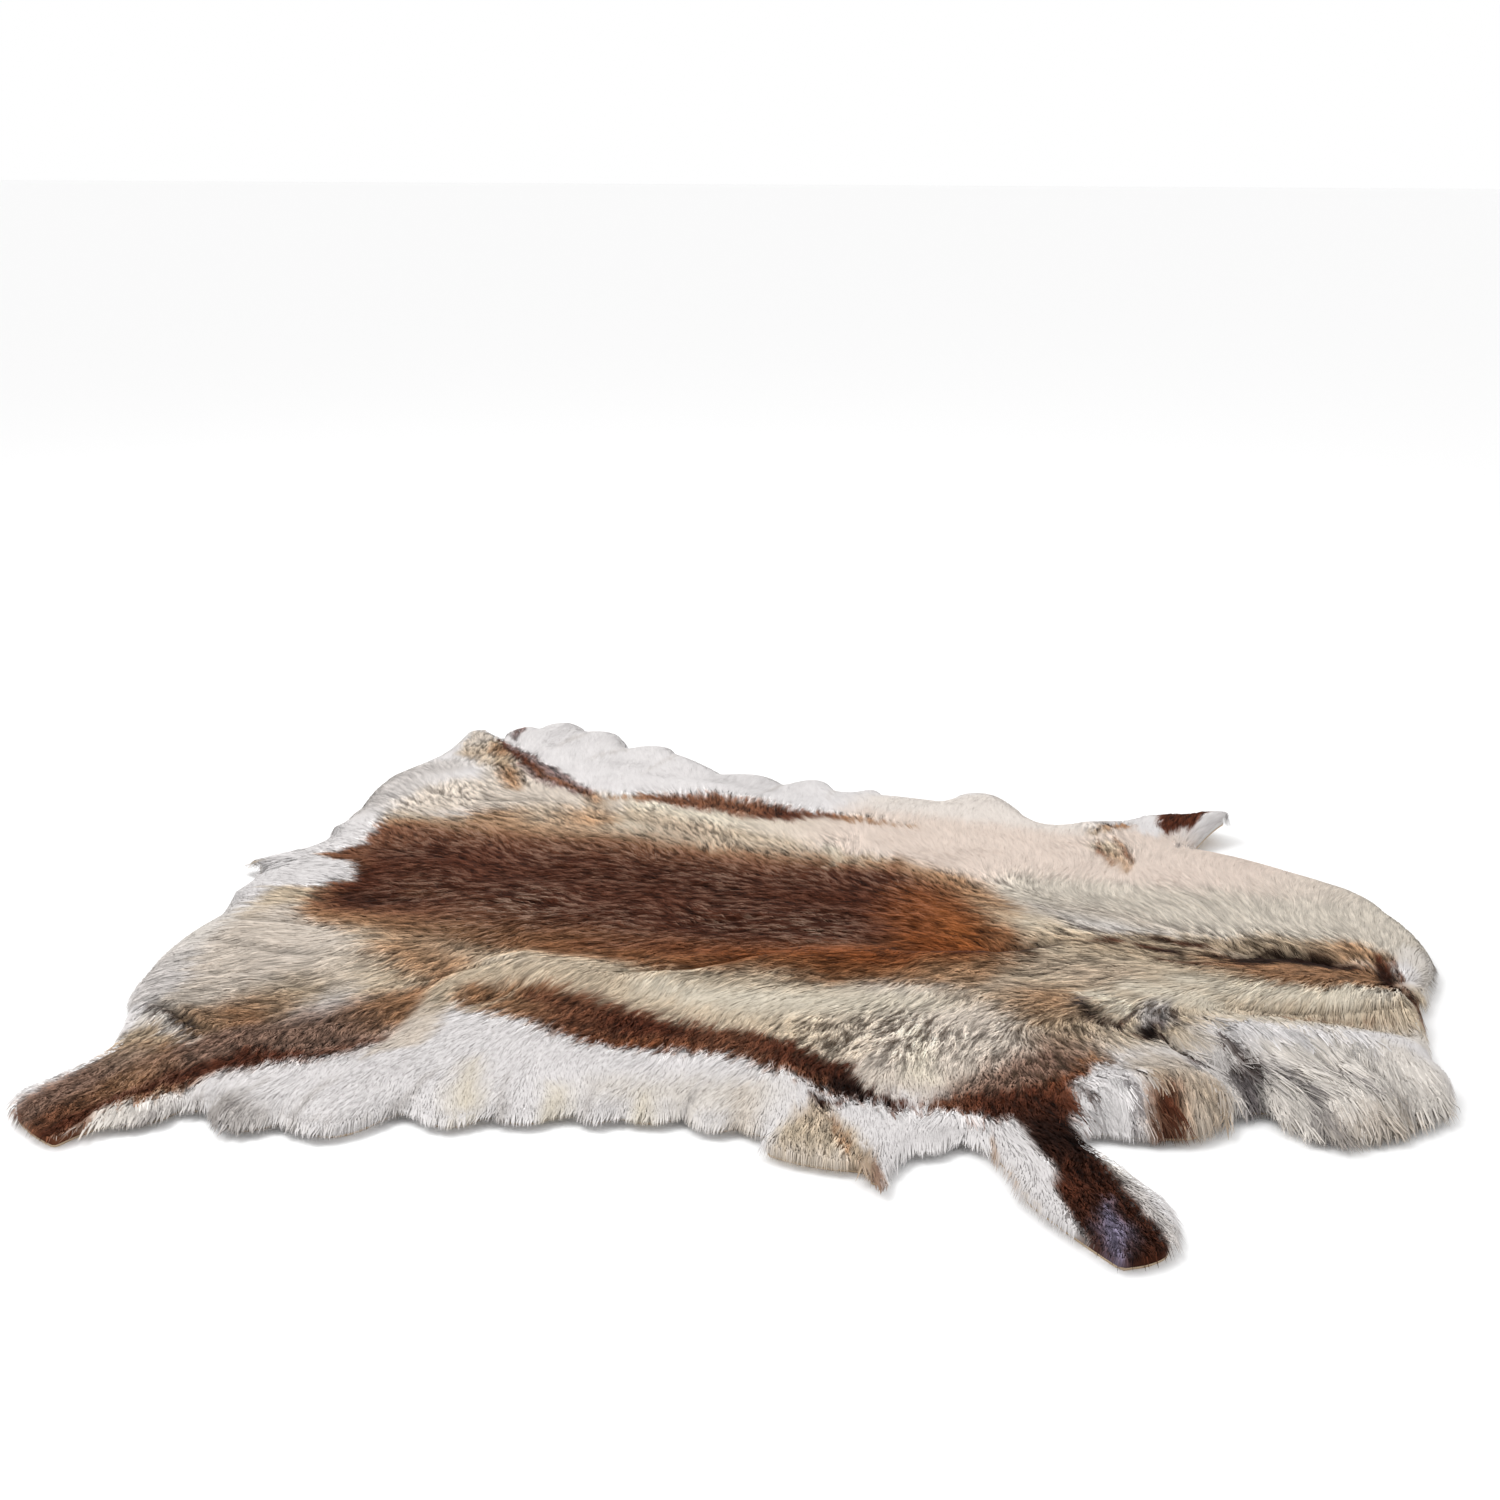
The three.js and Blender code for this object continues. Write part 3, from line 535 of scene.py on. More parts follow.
    "tint d": [("oat", 680, -400, 6, 40), ("oat", 700, -455, 8, 30)],
    # painted shade: grey strokes that run out to the scalloped edge of the right belly, as the
    # shade of folds there
    "ruffle a": [("pearl", 262, -500, 1, 14), ("ash", 274, -585, 3, 20)],
    "ruffle b": [("pearl", 325, -490, 1, 14), ("ash", 316, -570, 3, 18)],
    "ruffle c": [("pearl", 398, -440, 1, 14), ("ash", 400, -530, 3, 18)],
    "ruffle d": [("pearl", 470, -430, 1, 14), ("ash", 492, -510, 3, 16)],
    "ruffle e": [("pearl", 548, -420, 1, 14), ("ash", 564, -490, 3, 16)],
    "ruffle f": [("pearl", 640, -400, 1, 14), ("ash", 648, -456, 2, 14)],
    # painted shade: a thin grey line along the lower edge of the right belly's scallops
    "near rim shade": [
        ("pearl", 300, -572, 1, 16), ("pearl", 396, -532, 1, 12), ("pearl", 524, -506, 1, 14),
        ("pearl", 592, -478, 1, 12), ("pearl", 695, -464, 1, 12)],
    # painted shade: the same grey strokes by the scalloped edge of the left belly
    "left ruffle a": [("pearl", 140, 480, 1, 12), ("pearl", 158, 560, 4, 14)],
    "left ruffle b": [("pearl", 205, 440, 1, 12), ("pearl", 236, 515, 4, 14)],
    "left ruffle c": [("pearl", 300, 400, 1, 12), ("pearl", 308, 505, 3, 14)],
    "left ruffle d": [("pearl", 480, 370, 1, 10), ("pearl", 486, 425, 3, 12)],
    "left ruffle e": [("pearl", 560, 370, 1, 10), ("pearl", 562, 415, 3, 12)],
}

# Dusty pale tips over the dark coat: x, y, reach, share.
DUSTY_TIPS = [
    (170, 110, 110, 0.7), (290, 90, 120, 0.55), (400, 30, 110, 0.35), (500, 65, 120, 0.6),
    (210, -70, 100, 0.6), (330, -95, 130, 0.9), (450, -100, 110, 0.6), (560, -60, 110, 0.7),
    (650, -55, 100, 0.8), (700, 110, 90, 0.5), (600, 110, 110, 0.6), (130, 40, 80, 0.5),
    (400, 120, 120, 0.7), (310, -165, 90, 0.7), (240, -400, 80, 0.5), (130, -540, 80, 0.5),
    (740, 20, 90, 0.25),
]

# Dark hairs among pale ones: x, y, reach, share.
DARK_HAIRS = [
    (110, -330, 90, 0.2), (210, -340, 90, 0.2), (260, -400, 70, 0.1), (115, -432, 40, 0.35),
    (730, -295, 80, 0.9), (800, -262, 95, 0.95), (830, -200, 90, 0.2), (870, -260, 80, 0.5),
    (930, -215, 90, 0.75), (920, -290, 80, 0.7), (960, -70, 90, 0.3), (880, -80, 60, 0.5),
    (940, 5, 60, 0.8), (1000, 14, 60, 0.5), (1060, 12, 60, 0.9), (1130, 20, 70, 0.8),
    (1200, 40, 60, 0.6), (1235, -50, 50, 0.4), (1022, -150, 45, 0.8), (970, -140, 50, 0.6),
    (1195, -225, 60, 0.4), (1100, -240, 50, 0.5), (110, 240, 80, 0.5), (70, 180, 60, 0.5),
    (150, 200, 80, 0.5), (90, 380, 60, 0.5), (60, 450, 50, 0.5), (160, 320, 60, 0.5),
    (370, 255, 50, 0.5), (450, 205, 90, 0.3), (830, 120, 60, 0.35),
    (932, 275, 60, 0.2), (915, 350, 45, 0.4), (620, 190, 40, 0.4), (1110, -70, 60, 0.3),
]

# ---- sums on whole arrays of points ----
def hump(distance, reach):
    """A smooth hump: (1 - (distance / reach) squared) squared, and 0 past the reach."""
    share = np.minimum(distance / reach, 1.0)
    return (1.0 - share**2) ** 2


def along_line(x, y, a, b):
    """Where points are nearest to the line from a to b: the share of the way along, clamped to
    0 and 1, and the distance from the point there."""
    dx, dy = b[0] - a[0], b[1] - a[1]
    share = np.clip(((x - a[0]) * dx + (y - a[1]) * dy) / max(dx * dx + dy * dy, 1e-9), 0, 1)
    return share, np.hypot(x - a[0] - share * dx, y - a[1] - share * dy)


def mix(a, b, share):
    """a at share 0, b at share 1, in a straight line between."""
    return a + (b - a) * share


def eased(share):
    """A share from 0 to 1 that starts and ends slowly: s * s * (3 - 2 * s)."""
    return share * share * (3 - 2 * share)


def unit(steps):
    """Steps made 1 long: each divided by its own length."""
    return steps / np.maximum(np.linalg.norm(steps, axis=-1, keepdims=True), 1e-9)


def turned(step, angle):
    """Steps along x and y turned anticlockwise by angles."""
    c, s = np.cos(angle), np.sin(angle)
    return np.stack([step[..., 0] * c - step[..., 1] * s,
                     step[..., 0] * s + step[..., 1] * c], axis=-1)


def ridge(x, y, parts):
    """The highest of several humps that follow lines: between two rows the half width and the
    height run in a straight line, and across the line it is a hump."""
    height = np.zeros_like(x)
    for rows in parts.values():
        for a, b in zip(rows[:-1], rows[1:]):
            share, distance = along_line(x, y, a, b)
            here = mix(a[3], b[3], share) * hump(distance, mix(a[2], b[2], share))
            height = np.maximum(height, here)
    return height


def scatter(ix, iy, seed):
    """A number from 0 to 1 that looks random for each pair of whole numbers: their sum with
    large odd factors, its bits stirred twice, over its largest value."""
    h = (ix.astype(np.int64) * 374761393 + iy.astype(np.int64) * 668265263 + seed * 982451653)
    h &= 0x7FFFFFFF
    h = ((h ^ (h >> 13)) * 1274126177) & 0x7FFFFFFF
    return ((h ^ (h >> 16)) & 0xFFFF) / 65535.0


def drift(x, y, size, seed):
    """Smooth random numbers from 0 to 1: scatter() at whole steps of size, with eased() shares
    of them between."""
    x, y = x / size, y / size
    ix, iy = np.floor(x), np.floor(y)
    fx, fy = eased(x - ix), eased(y - iy)
    low = mix(scatter(ix, iy, seed), scatter(ix + 1, iy, seed), fx)
    high = mix(scatter(ix, iy + 1, seed), scatter(ix + 1, iy + 1, seed), fx)
    return mix(low, high, fy)


def tufts(x, y, size, seed):
    """The tuft that each point belongs to: the nearest of the middles that lie one to a square
    of size, each at a random place in its square. Gives the middle and two random numbers."""
    ix, iy = np.floor(x / size), np.floor(y / size)
    nearest = np.full(x.shape, np.inf)
    found = [np.zeros_like(x) for _ in range(4)]
    for i in (-1, 0, 1):
        for j in (-1, 0, 1):
            cx, cy = ix + i, iy + j
            mx = (cx + scatter(cx, cy, seed)) * size
            my = (cy + scatter(cx, cy, seed + 1)) * size
            distance = np.hypot(x - mx, y - my)
            closer = distance < nearest
            nearest = np.where(closer, distance, nearest)
            values = mx, my, scatter(cx, cy, seed + 2), scatter(cx, cy, seed + 3)
            found = [np.where(closer, new, old) for new, old in zip(values, found)]
    return found


def edge_points(step):
    """The edge: the straight line between two rows plus a parabola bow * 4t(1 - t), outwards."""
    rows = np.array([row for part in EDGE_ROWS.values() for row in part], float)
    points = []
    for (x, y, bow), (nx, ny, _) in zip(rows, np.roll(rows, -1, axis=0)):
        length = math.hypot(nx - x, ny - y)
        steps = max(2, round(length / step))
        t = np.arange(steps) / steps
        swell = bow * 4 * t * (1 - t) / length
        points.append(np.stack([mix(x, nx, t) + (ny - y) * swell,
                                mix(y, ny, t) - (nx - x) * swell], axis=1))
    return np.concatenate(points)


def inside_edge(x, y):
    """The distance in from the edge, negative outside: the least distance to the edge's short
    lines, with the sign of whether a ray along x crosses them an odd number of times."""
    edge = edge_points(EDGE_STEP)
    nearest = np.full(x.shape, np.inf)
    inside = np.zeros(x.shape, bool)
    for a, b in zip(edge, np.roll(edge, -1, axis=0)):
        _, distance = along_line(x, y, a, b)
        nearest = np.minimum(nearest, distance)
        if a[1] != b[1]:
            crosses = ((a[1] > y) != (b[1] > y)) & (
                x < a[0] + (b[0] - a[0]) * (y - a[1]) / (b[1] - a[1]))
            inside ^= crosses
    return np.where(inside, nearest, -nearest)


class Chart:
    """A quantity worked out once on a square grid over the hide, and read between its points
    in a straight line along x and along y."""

    LOW = (-75.0, -700.0)
    HIGH = (1335.0, 640.0)

    def __init__(self, step, quantity):
        self.step = step
        xs = np.arange(self.LOW[0], self.HIGH[0] + step, step)
        ys = np.arange(self.LOW[1], self.HIGH[1] + step, step)
        self.values = quantity(*np.meshgrid(xs, ys, indexing="ij"))

    def at(self, x, y):
        """The quantity at points."""
        rows, columns = self.values.shape[:2]
        u = np.clip((x - self.LOW[0]) / self.step, 0, rows - 1.001)
        v = np.clip((y - self.LOW[1]) / self.step, 0, columns - 1.001)
        i, j = u.astype(int), v.astype(int)
        fu, fv = u - i, v - j
        if self.values.ndim == 3:
            fu, fv = fu[..., None], fv[..., None]
        low = mix(self.values[i, j], self.values[i + 1, j], fu)
        high = mix(self.values[i, j + 1], self.values[i + 1, j + 1], fu)
        return mix(low, high, fv)

    def slope(self, x, y):
        """Its slope along x and along y, from the difference over one step."""
        half = self.step / 2
        along = (self.at(x + half, y) - self.at(x - half, y)) / self.step
        across = (self.at(x, y + half) - self.at(x, y - half)) / self.step
        return along, across


def full_depth(x, y):
    """Leather and hair away from the edge: the back's depth fading to the belly's, drawn to
    each spot's by a hump, plus two wandering waves, less the partings and creases."""
    share = np.clip((np.abs(y) - BACK_HALF_WIDTH) / (BELLY_FROM - BACK_HALF_WIDTH), 0, 1)
    depth = mix(BACK_DEPTH, BELLY_DEPTH, eased(share))
    for cx, cy, reach, deep in DEPTH_SPOTS.values():
        depth = mix(depth, deep, hump(np.hypot(x - cx, y - cy), reach))
    along = np.sin(x / SWELL + 1.3 * np.sin(y / (1.4 * SWELL)))
    across = np.sin(y / (1.2 * SWELL) + 0.9 * np.sin(x / (1.6 * SWELL)))
    return depth + UNEVENNESS * along * across - ridge(x, y, PARTINGS) - ridge(x, y, CREASES)


def lie_of_hair(x, y):
    """The unit step from root to tip: the rows' unit steps, each weighted by
    exp(-(distance / LIE_REACH) squared), then turned a little to and fro by drift()."""
    total = np.zeros(x.shape + (2,))
    for cx, cy, dx, dy in LIE:
        weight = np.exp(-(((x - cx) ** 2 + (y - cy) ** 2) / LIE_REACH**2)) + 1e-12
        total += weight[..., None] * (np.array((dx, dy)) / math.hypot(dx, dy))
    turn = sum(far * (drift(x, y, size, seed) - 0.5) for far, size, seed in LIE_TURNS)
    return turned(unit(total), turn)


def combed(x, y, lie, size, reach, gain, seed):
    """Random numbers from 0 to 1 in streaks along the hair: the mean of drift() at points that
    follow the lie of the hair to a reach either way, its swing about a half widened by gain."""
    total = drift(x, y, size, seed)
    for stride in (reach / COMB_STEPS, -reach / COMB_STEPS):
        px, py = x, y
        for _ in range(COMB_STEPS):
            step = lie.at(px, py)
            px, py = px + step[..., 0] * stride, py + step[..., 1] * stride
            total = total + drift(px, py, size, seed)
    return np.clip(0.5 + gain * (total / (2 * COMB_STEPS + 1) - 0.5), 0, 1)


def linear(colour):
    """A colour written as 0 to 255 on a screen, as shares of light."""
    share = np.asarray(colour, float) / 255.0
    return np.where(share <= 0.04045, share / 12.92, ((share + 0.055) / 1.055) ** 2.4)


def pile(colour):
    """The colour that single hairs need for a pile of them to show a colour. A share of the
    light that one hair sends back gets out and the rest meets other hairs, so
    a = c / (share + c * (1 - share))."""
    return colour / (GETS_OUT + colour * (1 - GETS_OUT))


def coat_colour(x, y, lie, comb):
    """The coat's colour at points of its tips: from the belly's white on, each mark is laid over
    with a share that falls from 1 to 0 across its soft border. The points are first moved a
    little by drift(), and along the hair by its streaks, so that no border is even."""
    step = lie.at(x, y)
    along = STREAK_MOVE * (comb.at(x, y) - 0.5)
    (wide, wide_size), (fine, fine_size) = BORDER_MOVES
    wx = x + wide * (drift(x, y, wide_size, 1) - 0.5) + fine * (drift(x, y, fine_size, 2) - 0.5)
    wy = y + wide * (drift(x, y, wide_size, 3) - 0.5) + fine * (drift(x, y, fine_size, 4) - 0.5)
    wx, wy = wx + step[..., 0] * along, wy + step[..., 1] * along
    colour = np.empty(x.shape + (3,))
    colour[:] = COLOURS["snow"]
    for rows in MARKS.values():
        nearest = np.full(x.shape, np.inf)
        paint = np.zeros(x.shape + (3,))
        for a, b in zip(rows[:-1], rows[1:]):
            share, distance = along_line(wx, wy, a[1:3], b[1:3])
            border = (distance - mix(a[3], b[3], share)) / mix(a[4], b[4], share)
            closer = border < nearest
            nearest = np.where(closer, border, nearest)
            here = mix(np.array(COLOURS[a[0]], float), np.array(COLOURS[b[0]], float),
                       share[..., None])
            paint[closer] = here[closer]
        cover = eased(np.clip(0.5 - nearest, 0, 1))
        colour = mix(colour, paint, cover[..., None])
    return pile(linear(colour))


def hump_share(x, y, rows):
    """The largest of the rows' humps, each row the place, reach and height of one."""
    share = np.zeros_like(x)
    for cx, cy, reach, most in rows:
        share = np.maximum(share, most * hump(np.hypot(x - cx, y - cy), reach))
    return share


class Hide:
    """The charts of the hide that its pieces are cut and grown from."""

    def __init__(self):
        self.edge = Chart(4.0, inside_edge)
        self.rise = Chart(5.0, lambda x, y: ridge(x, y, FOLDS))
        self.full = Chart(3.0, full_depth)
        self.groove = Chart(3.0, lambda x, y: ridge(x, y, CREASES))
        self.lie = Chart(10.0, lie_of_hair)
        self.comb = Chart(1.4, lambda x, y: combed(x, y, self.lie, *COMB))
        self.wisp = Chart(4.0, lambda x, y: combed(x, y, self.lie, *WISP))
        self.colour = Chart(2.0, lambda x, y: coat_colour(x, y, self.lie, self.comb))
        self.dark = Chart(12.0, lambda x, y: hump_share(x, y, DARK_HAIRS))
        self.dust = Chart(12.0, lambda x, y: hump_share(x, y, DUSTY_TIPS))
        self.top = Chart(3.0, self.hair_top)

    def hair_top(self, x, y):
        """The height that the hair's tips reach: the leather's rise, the depth, and tufts that
        rise and fall with the wisps and streaks, less in the pale silky coat."""
        tufted = 1 - SILKY_EVEN * self.silky(x, y)
        relief = (WISP_RELIEF * (self.wisp.at(x, y) - 0.6)
                  + COMB_RELIEF * (self.comb.at(x, y) - 0.6))
        return self.rise.at(x, y) + self.depth(x, y) + relief * tufted

    def outward(self, x, y):
        """A step out over the edge, which grows from 0 to the full step over the last stretch
        before the edge."""
        gx, gy = self.edge.slope(x, y)
        size = np.maximum(np.hypot(gx, gy), 1e-3)
        share = SPLAY_STEP * np.clip(1 - self.edge.at(x, y) / SPLAY, 0, 1)
        return -np.stack([gx, gy], -1) / size[..., None] * share[..., None]

    def silky(self, x, y):
        """How silky and even the coat is, from 0 to 1: the paler the more, less among dark
        hairs."""
        pale = np.clip((self.coat(x, y).mean(axis=-1) - SILKY_FROM) / SILKY_SPAN, 0, 1)
        return pale * (1 - np.minimum(1.4 * self.dark.at(x, y), 1))

    def depth(self, x, y, inset=0.0):
        """Leather and hair with the rounded edge: a quarter ellipse from RIM to the full depth."""
        share = np.clip((self.edge.at(x, y) - inset) / ROLL, 0, 1)
        rise = np.sqrt(1 - (1 - share) ** 2)
        return RIM + (np.maximum(self.full.at(x, y), RIM) - RIM) * rise

    def coat(self, x, y):
        """The coat's colour over points of the leather."""
        return self.colour.at(x - OVERHANG[0], y - OVERHANG[1])


def hide_origin():
    """The place of the tables' zero in the row frame: the middle of the CAD box less the middle
    of the edge's own box, in millimetres."""
    low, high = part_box("hide")
    edge = edge_points(EDGE_STEP)
    middle = (edge.min(axis=0) + edge.max(axis=0)) / 2
    return np.array([(low.x + high.x) * 500, (low.y + high.y) * 500]) - middle


HIDE = Hide()
ORIGIN = hide_origin()


# ---- making objects ----
def new_object(name, points, faces, material, colours=None, normals=None):
    """A mesh object from arrays of points in millimetres and of faces with equal corners."""
    mesh = bpy.data.meshes.new(name)
    mesh.vertices.add(len(points))
    placed = (points + np.array([ORIGIN[0], ORIGIN[1], 0.0])) / 1000.0
    mesh.vertices.foreach_set("co", placed.astype(np.float32).ravel())
    corners = faces.shape[1]
    mesh.loops.add(faces.size)
    mesh.loops.foreach_set("vertex_index", faces.astype(np.int32).ravel())
    mesh.polygons.add(len(faces))
    mesh.polygons.foreach_set("loop_start", np.arange(0, faces.size, corners, dtype=np.int32))
    mesh.polygons.foreach_set("use_smooth", np.ones(len(faces), bool))
    mesh.update(calc_edges=True)
    if normals is not None:
        given = mesh.attributes.new("custom_normal", "FLOAT_VECTOR", "POINT")
        given.data.foreach_set("vector", normals.astype(np.float32).ravel())
    if colours is not None:
        layer = mesh.color_attributes.new("coat", "FLOAT_COLOR", "POINT")
        rgba = np.ones((len(points), 4), np.float32)
        rgba[:, :3] = colours
        layer.data.foreach_set("color", rgba.ravel())
        plan = mesh.uv_layers.new(name="OFBake")
        span = max(Chart.HIGH[0] - Chart.LOW[0], Chart.HIGH[1] - Chart.LOW[1])
        uv = ((points[:, :2] - np.array(Chart.LOW)) / span)[faces.ravel()]
        plan.data.foreach_set("uv", uv.astype(np.float32).ravel())
    mesh.materials.append(material)
    made = bpy.data.objects.new(name, mesh)
    bpy.context.scene.collection.objects.link(made)
    return made


def fresh(name):
    """Removes an earlier piece of that name, so that an operator can be run again."""
    old = bpy.data.objects.get(name)
    if old is not None:
        bpy.data.objects.remove(old, do_unlink=True)
    return name


RIM_MOVES = 6  # moves that bring the outermost points onto their line
RIM_STRIDE = 0.8  # share of the way that each move goes


def plan_cells(step, inset):
    """The hide's plan in square cells: those whose middle is at least inset in from the edge,
    less any that meet at one corner alone, with the outermost points moved down the slope of
    the edge's distance onto that line. Gives the points and each cell's four corners,
    anticlockwise."""
    xs = np.arange(Chart.LOW[0], Chart.HIGH[0], step)
    ys = np.arange(Chart.LOW[1], Chart.HIGH[1], step)
    x, y = (a.copy() for a in np.meshgrid(xs, ys, indexing="ij"))
    keep = HIDE.edge.at(x[:-1, :-1] + step / 2, y[:-1, :-1] + step / 2) > inset
    a, b, c, d = keep[:-1, :-1], keep[1:, :-1], keep[1:, 1:], keep[:-1, 1:]
    pinch = (a & c & ~b & ~d) | (b & d & ~a & ~c)
    for cell in (a, b, c, d):
        cell &= ~pinch
    used = np.zeros(x.shape, int)
    for cell in (used[:-1, :-1], used[1:, :-1], used[1:, 1:], used[:-1, 1:]):
        cell += keep
    rim = (used > 0) & (used < 4)
    for _ in range(RIM_MOVES):
        off = HIDE.edge.at(x[rim], y[rim]) - inset
        gx, gy = HIDE.edge.slope(x[rim], y[rim])
        size = np.maximum(gx * gx + gy * gy, 0.3)
        x[rim] -= RIM_STRIDE * off * gx / size
        y[rim] -= RIM_STRIDE * off * gy / size
    number = np.cumsum((used > 0).ravel()).reshape(used.shape) - 1
    cells = np.stack([number[:-1, :-1], number[1:, :-1], number[1:, 1:], number[:-1, 1:]], -1)
    return x[used > 0], y[used > 0], cells[keep]


def open_sides(cells):
    """The sides that one cell alone has, as pairs of points in that cell's turning."""
    sides = np.concatenate([cells[:, [k, (k + 1) % 4]] for k in range(4)])
    size = cells.max() + 1
    forth = sides[:, 0] * size + sides[:, 1]
    back = sides[:, 1] * size + sides[:, 0]
    return sides[~np.isin(forth, back)]


def slab(x, y, cells, low, high):
    """A closed layer over the plan: its upper side at the heights high, its under side at low,
    and a wall round the rim. Gives points and faces."""
    count = len(x)
    points = np.concatenate([np.stack([x, y, high], 1), np.stack([x, y, low], 1)])
    rim = open_sides(cells)
    wall = np.stack([rim[:, 0], rim[:, 0] + count, rim[:, 1] + count, rim[:, 1]], 1)
    faces = np.concatenate([cells, cells[:, ::-1] + count, wall])
    return points, faces


def plan_area(x, y, cells):
    """The area of the cells, in square metres, by the shoelace sum."""
    cx, cy = x[cells], y[cells]
    cross = cx * np.roll(cy, -1, 1) - np.roll(cx, -1, 1) * cy
    return cross.sum() / 2e6


# ---- shaders ----
class Wire:
    """An output of a node. A sum with a number or a wire adds the Math node it stands for."""

    def __init__(self, tree, socket):
        self.tree, self.socket = tree, socket

    def _sum(self, kind, first, second):
        made = self.tree.nodes.new("ShaderNodeMath")
        made.operation = kind
        for socket, value in zip(made.inputs, (first, second)):
            if isinstance(value, Wire):
                self.tree.links.new(value.socket, socket)
            else:
                socket.default_value = value
        return Wire(self.tree, made.outputs[0])

    def __add__(self, other):
        return self._sum("ADD", self, other)

    def __radd__(self, other):
        return self._sum("ADD", other, self)

    def __sub__(self, other):
        return self._sum("SUBTRACT", self, other)

    def __rsub__(self, other):
        return self._sum("SUBTRACT", other, self)

    def __mul__(self, other):
        return self._sum("MULTIPLY", self, other)

    def __rmul__(self, other):
        return self._sum("MULTIPLY", other, self)


class Shader:
    """A new material and the nodes that are added to it."""

    def __init__(self, name):
        old = bpy.data.materials.get(name)
        if old is not None:
            bpy.data.materials.remove(old)
        self.material = bpy.data.materials.new(name)
        self.material.use_nodes = True
        self.tree = self.material.node_tree
        self.tree.nodes.clear()

    def add(self, kind, settings=None, inputs=None, output=0):
        """Adds a node: first its settings, then its inputs, each a number, colour or Wire."""
        made = self.tree.nodes.new(kind)
        for name, value in (settings or {}).items():
            setattr(made, name, value)
        for name, value in (inputs or {}).items():
            if isinstance(value, Wire):
                self.tree.links.new(value.socket, made.inputs[name])
            else:
                made.inputs[name].default_value = value
        return Wire(self.tree, made.outputs[output]) if made.outputs else None

    def finish(self, **inputs):
        """Ends the material with a surface of these inputs."""
        named = {name.replace("_", " "): value for name, value in inputs.items()}
        surface = self.add("ShaderNodeBsdfPrincipled", None, named)
        self.add("ShaderNodeOutputMaterial", None, {"Surface": surface})
        return self.material


def leather_material(sizes):
    """Pale suede: its colour times a share of light that varies in blotches and with a fine
    nap, which is a low bump too."""
    shader = Shader("suede")
    place = shader.add("ShaderNodeTexCoord", output="Object")
    blotch = shader.add("ShaderNodeTexNoise", None, {"Vector": place, "Scale": 18.0, "Detail": 4.0})
    nap = shader.add("ShaderNodeTexNoise", None, {"Vector": place, "Scale": 900.0, "Detail": 3.0})
    base = shader.add("ShaderNodeRGB")
    base.socket.default_value = (*sizes.leather_colour, 1.0)
    colour = shader.add("ShaderNodeVectorMath", {"operation": "SCALE"},
                        {"Vector": base, "Scale": 0.8 + 0.25 * blotch + 0.15 * nap})
    bump = shader.add("ShaderNodeBump", None, {"Strength": 0.3, "Distance": 0.0004, "Height": nap})
    return shader.finish(Base_Color=colour, Roughness=0.95, Normal=bump)


def coat_material(name, roughness):
    """Hair: the colour that each strand was given."""
    shader = Shader(name)
    given = shader.add("ShaderNodeAttribute", {"attribute_name": "coat"}, output="Color")
    return shader.finish(Base_Color=given, Roughness=roughness, Specular_IOR_Level=0.05)


# ---- what a user would change ----
class HideLeather(bpy.types.PropertyGroup):
    thickness: FloatProperty(
        name="Thickness", description="Thickness of the tanned leather",
        default=0.0018, min=0.0008, max=0.004, unit="LENGTH")
    inset: FloatProperty(
        name="Inset", description="How far the hair hangs over the edge of the leather",
        default=0.010, min=0.002, max=0.03, unit="LENGTH")
    cell: FloatProperty(
        name="Cell", description="Size of the mesh's cells",
        default=0.008, min=0.005, max=0.03, unit="LENGTH")
    leather_colour: FloatVectorProperty(
        name="Leather", description="Colour of the flesh side", subtype="COLOR",
        default=(0.50, 0.38, 0.26), min=0.0, max=1.0)


class HideUnderfur(bpy.types.PropertyGroup):
    below: FloatProperty(
        name="Below", description="How far below the hair's tips it ends",
        default=0.0036, min=0.001, max=0.01, unit="LENGTH")
    lumps: FloatProperty(
        name="Lumps", description="How far its tufts rise and fall",
        default=0.0010, min=0.0, max=0.004, unit="LENGTH")
    cell: FloatProperty(
        name="Cell", description="Size of the mesh's cells",
        default=0.0064, min=0.005, max=0.03, unit="LENGTH")
    shade: FloatProperty(
        name="Shade", description="Its lightness against that of the hair over it",
        default=0.92, min=0.1, max=1.0, subtype="FACTOR")


class HideHair(bpy.types.PropertyGroup):
    count: IntProperty(
        name="Locks", description="Locks of hair in each of the four pieces",
        default=80000, min=1000, max=97000)
    width: FloatProperty(
        name="Width", description="Width of a lock at its middle",
        default=0.0011, min=0.0003, max=0.004, unit="LENGTH")
    lean: FloatProperty(
        name="Lean", description="How far a lock reaches over, as a share of the depth",
        default=1.0, min=0.2, max=2.0)
    tuft: FloatProperty(
        name="Tuft", description="Distance between tufts",
        default=0.0075, min=0.003, max=0.03, unit="LENGTH")
    gather: FloatProperty(
        name="Gather", description="How far tips draw together in a tuft",
        default=0.38, min=0.0, max=1.0, subtype="FACTOR")
    overhang: FloatProperty(
        name="Overhang", description="How far tips may pass the edge",
        default=0.004, min=0.0, max=0.01, unit="LENGTH")
    droop: FloatProperty(
        name="Droop", description="How far in from the edge the tips begin to hang down",
        default=0.006, min=0.001, max=0.03, unit="LENGTH")
    dusty: FloatVectorProperty(
        name="Dusty tips", description="Colour that the dark coat's tips fade to",
        subtype="COLOR", default=(0.33, 0.22, 0.16), min=0.0, max=1.0)
    ticking: FloatVectorProperty(
        name="Ticking", description="Colour of the dark hairs among pale ones",
        subtype="COLOR", default=(0.080, 0.050, 0.029), min=0.0, max=1.0)


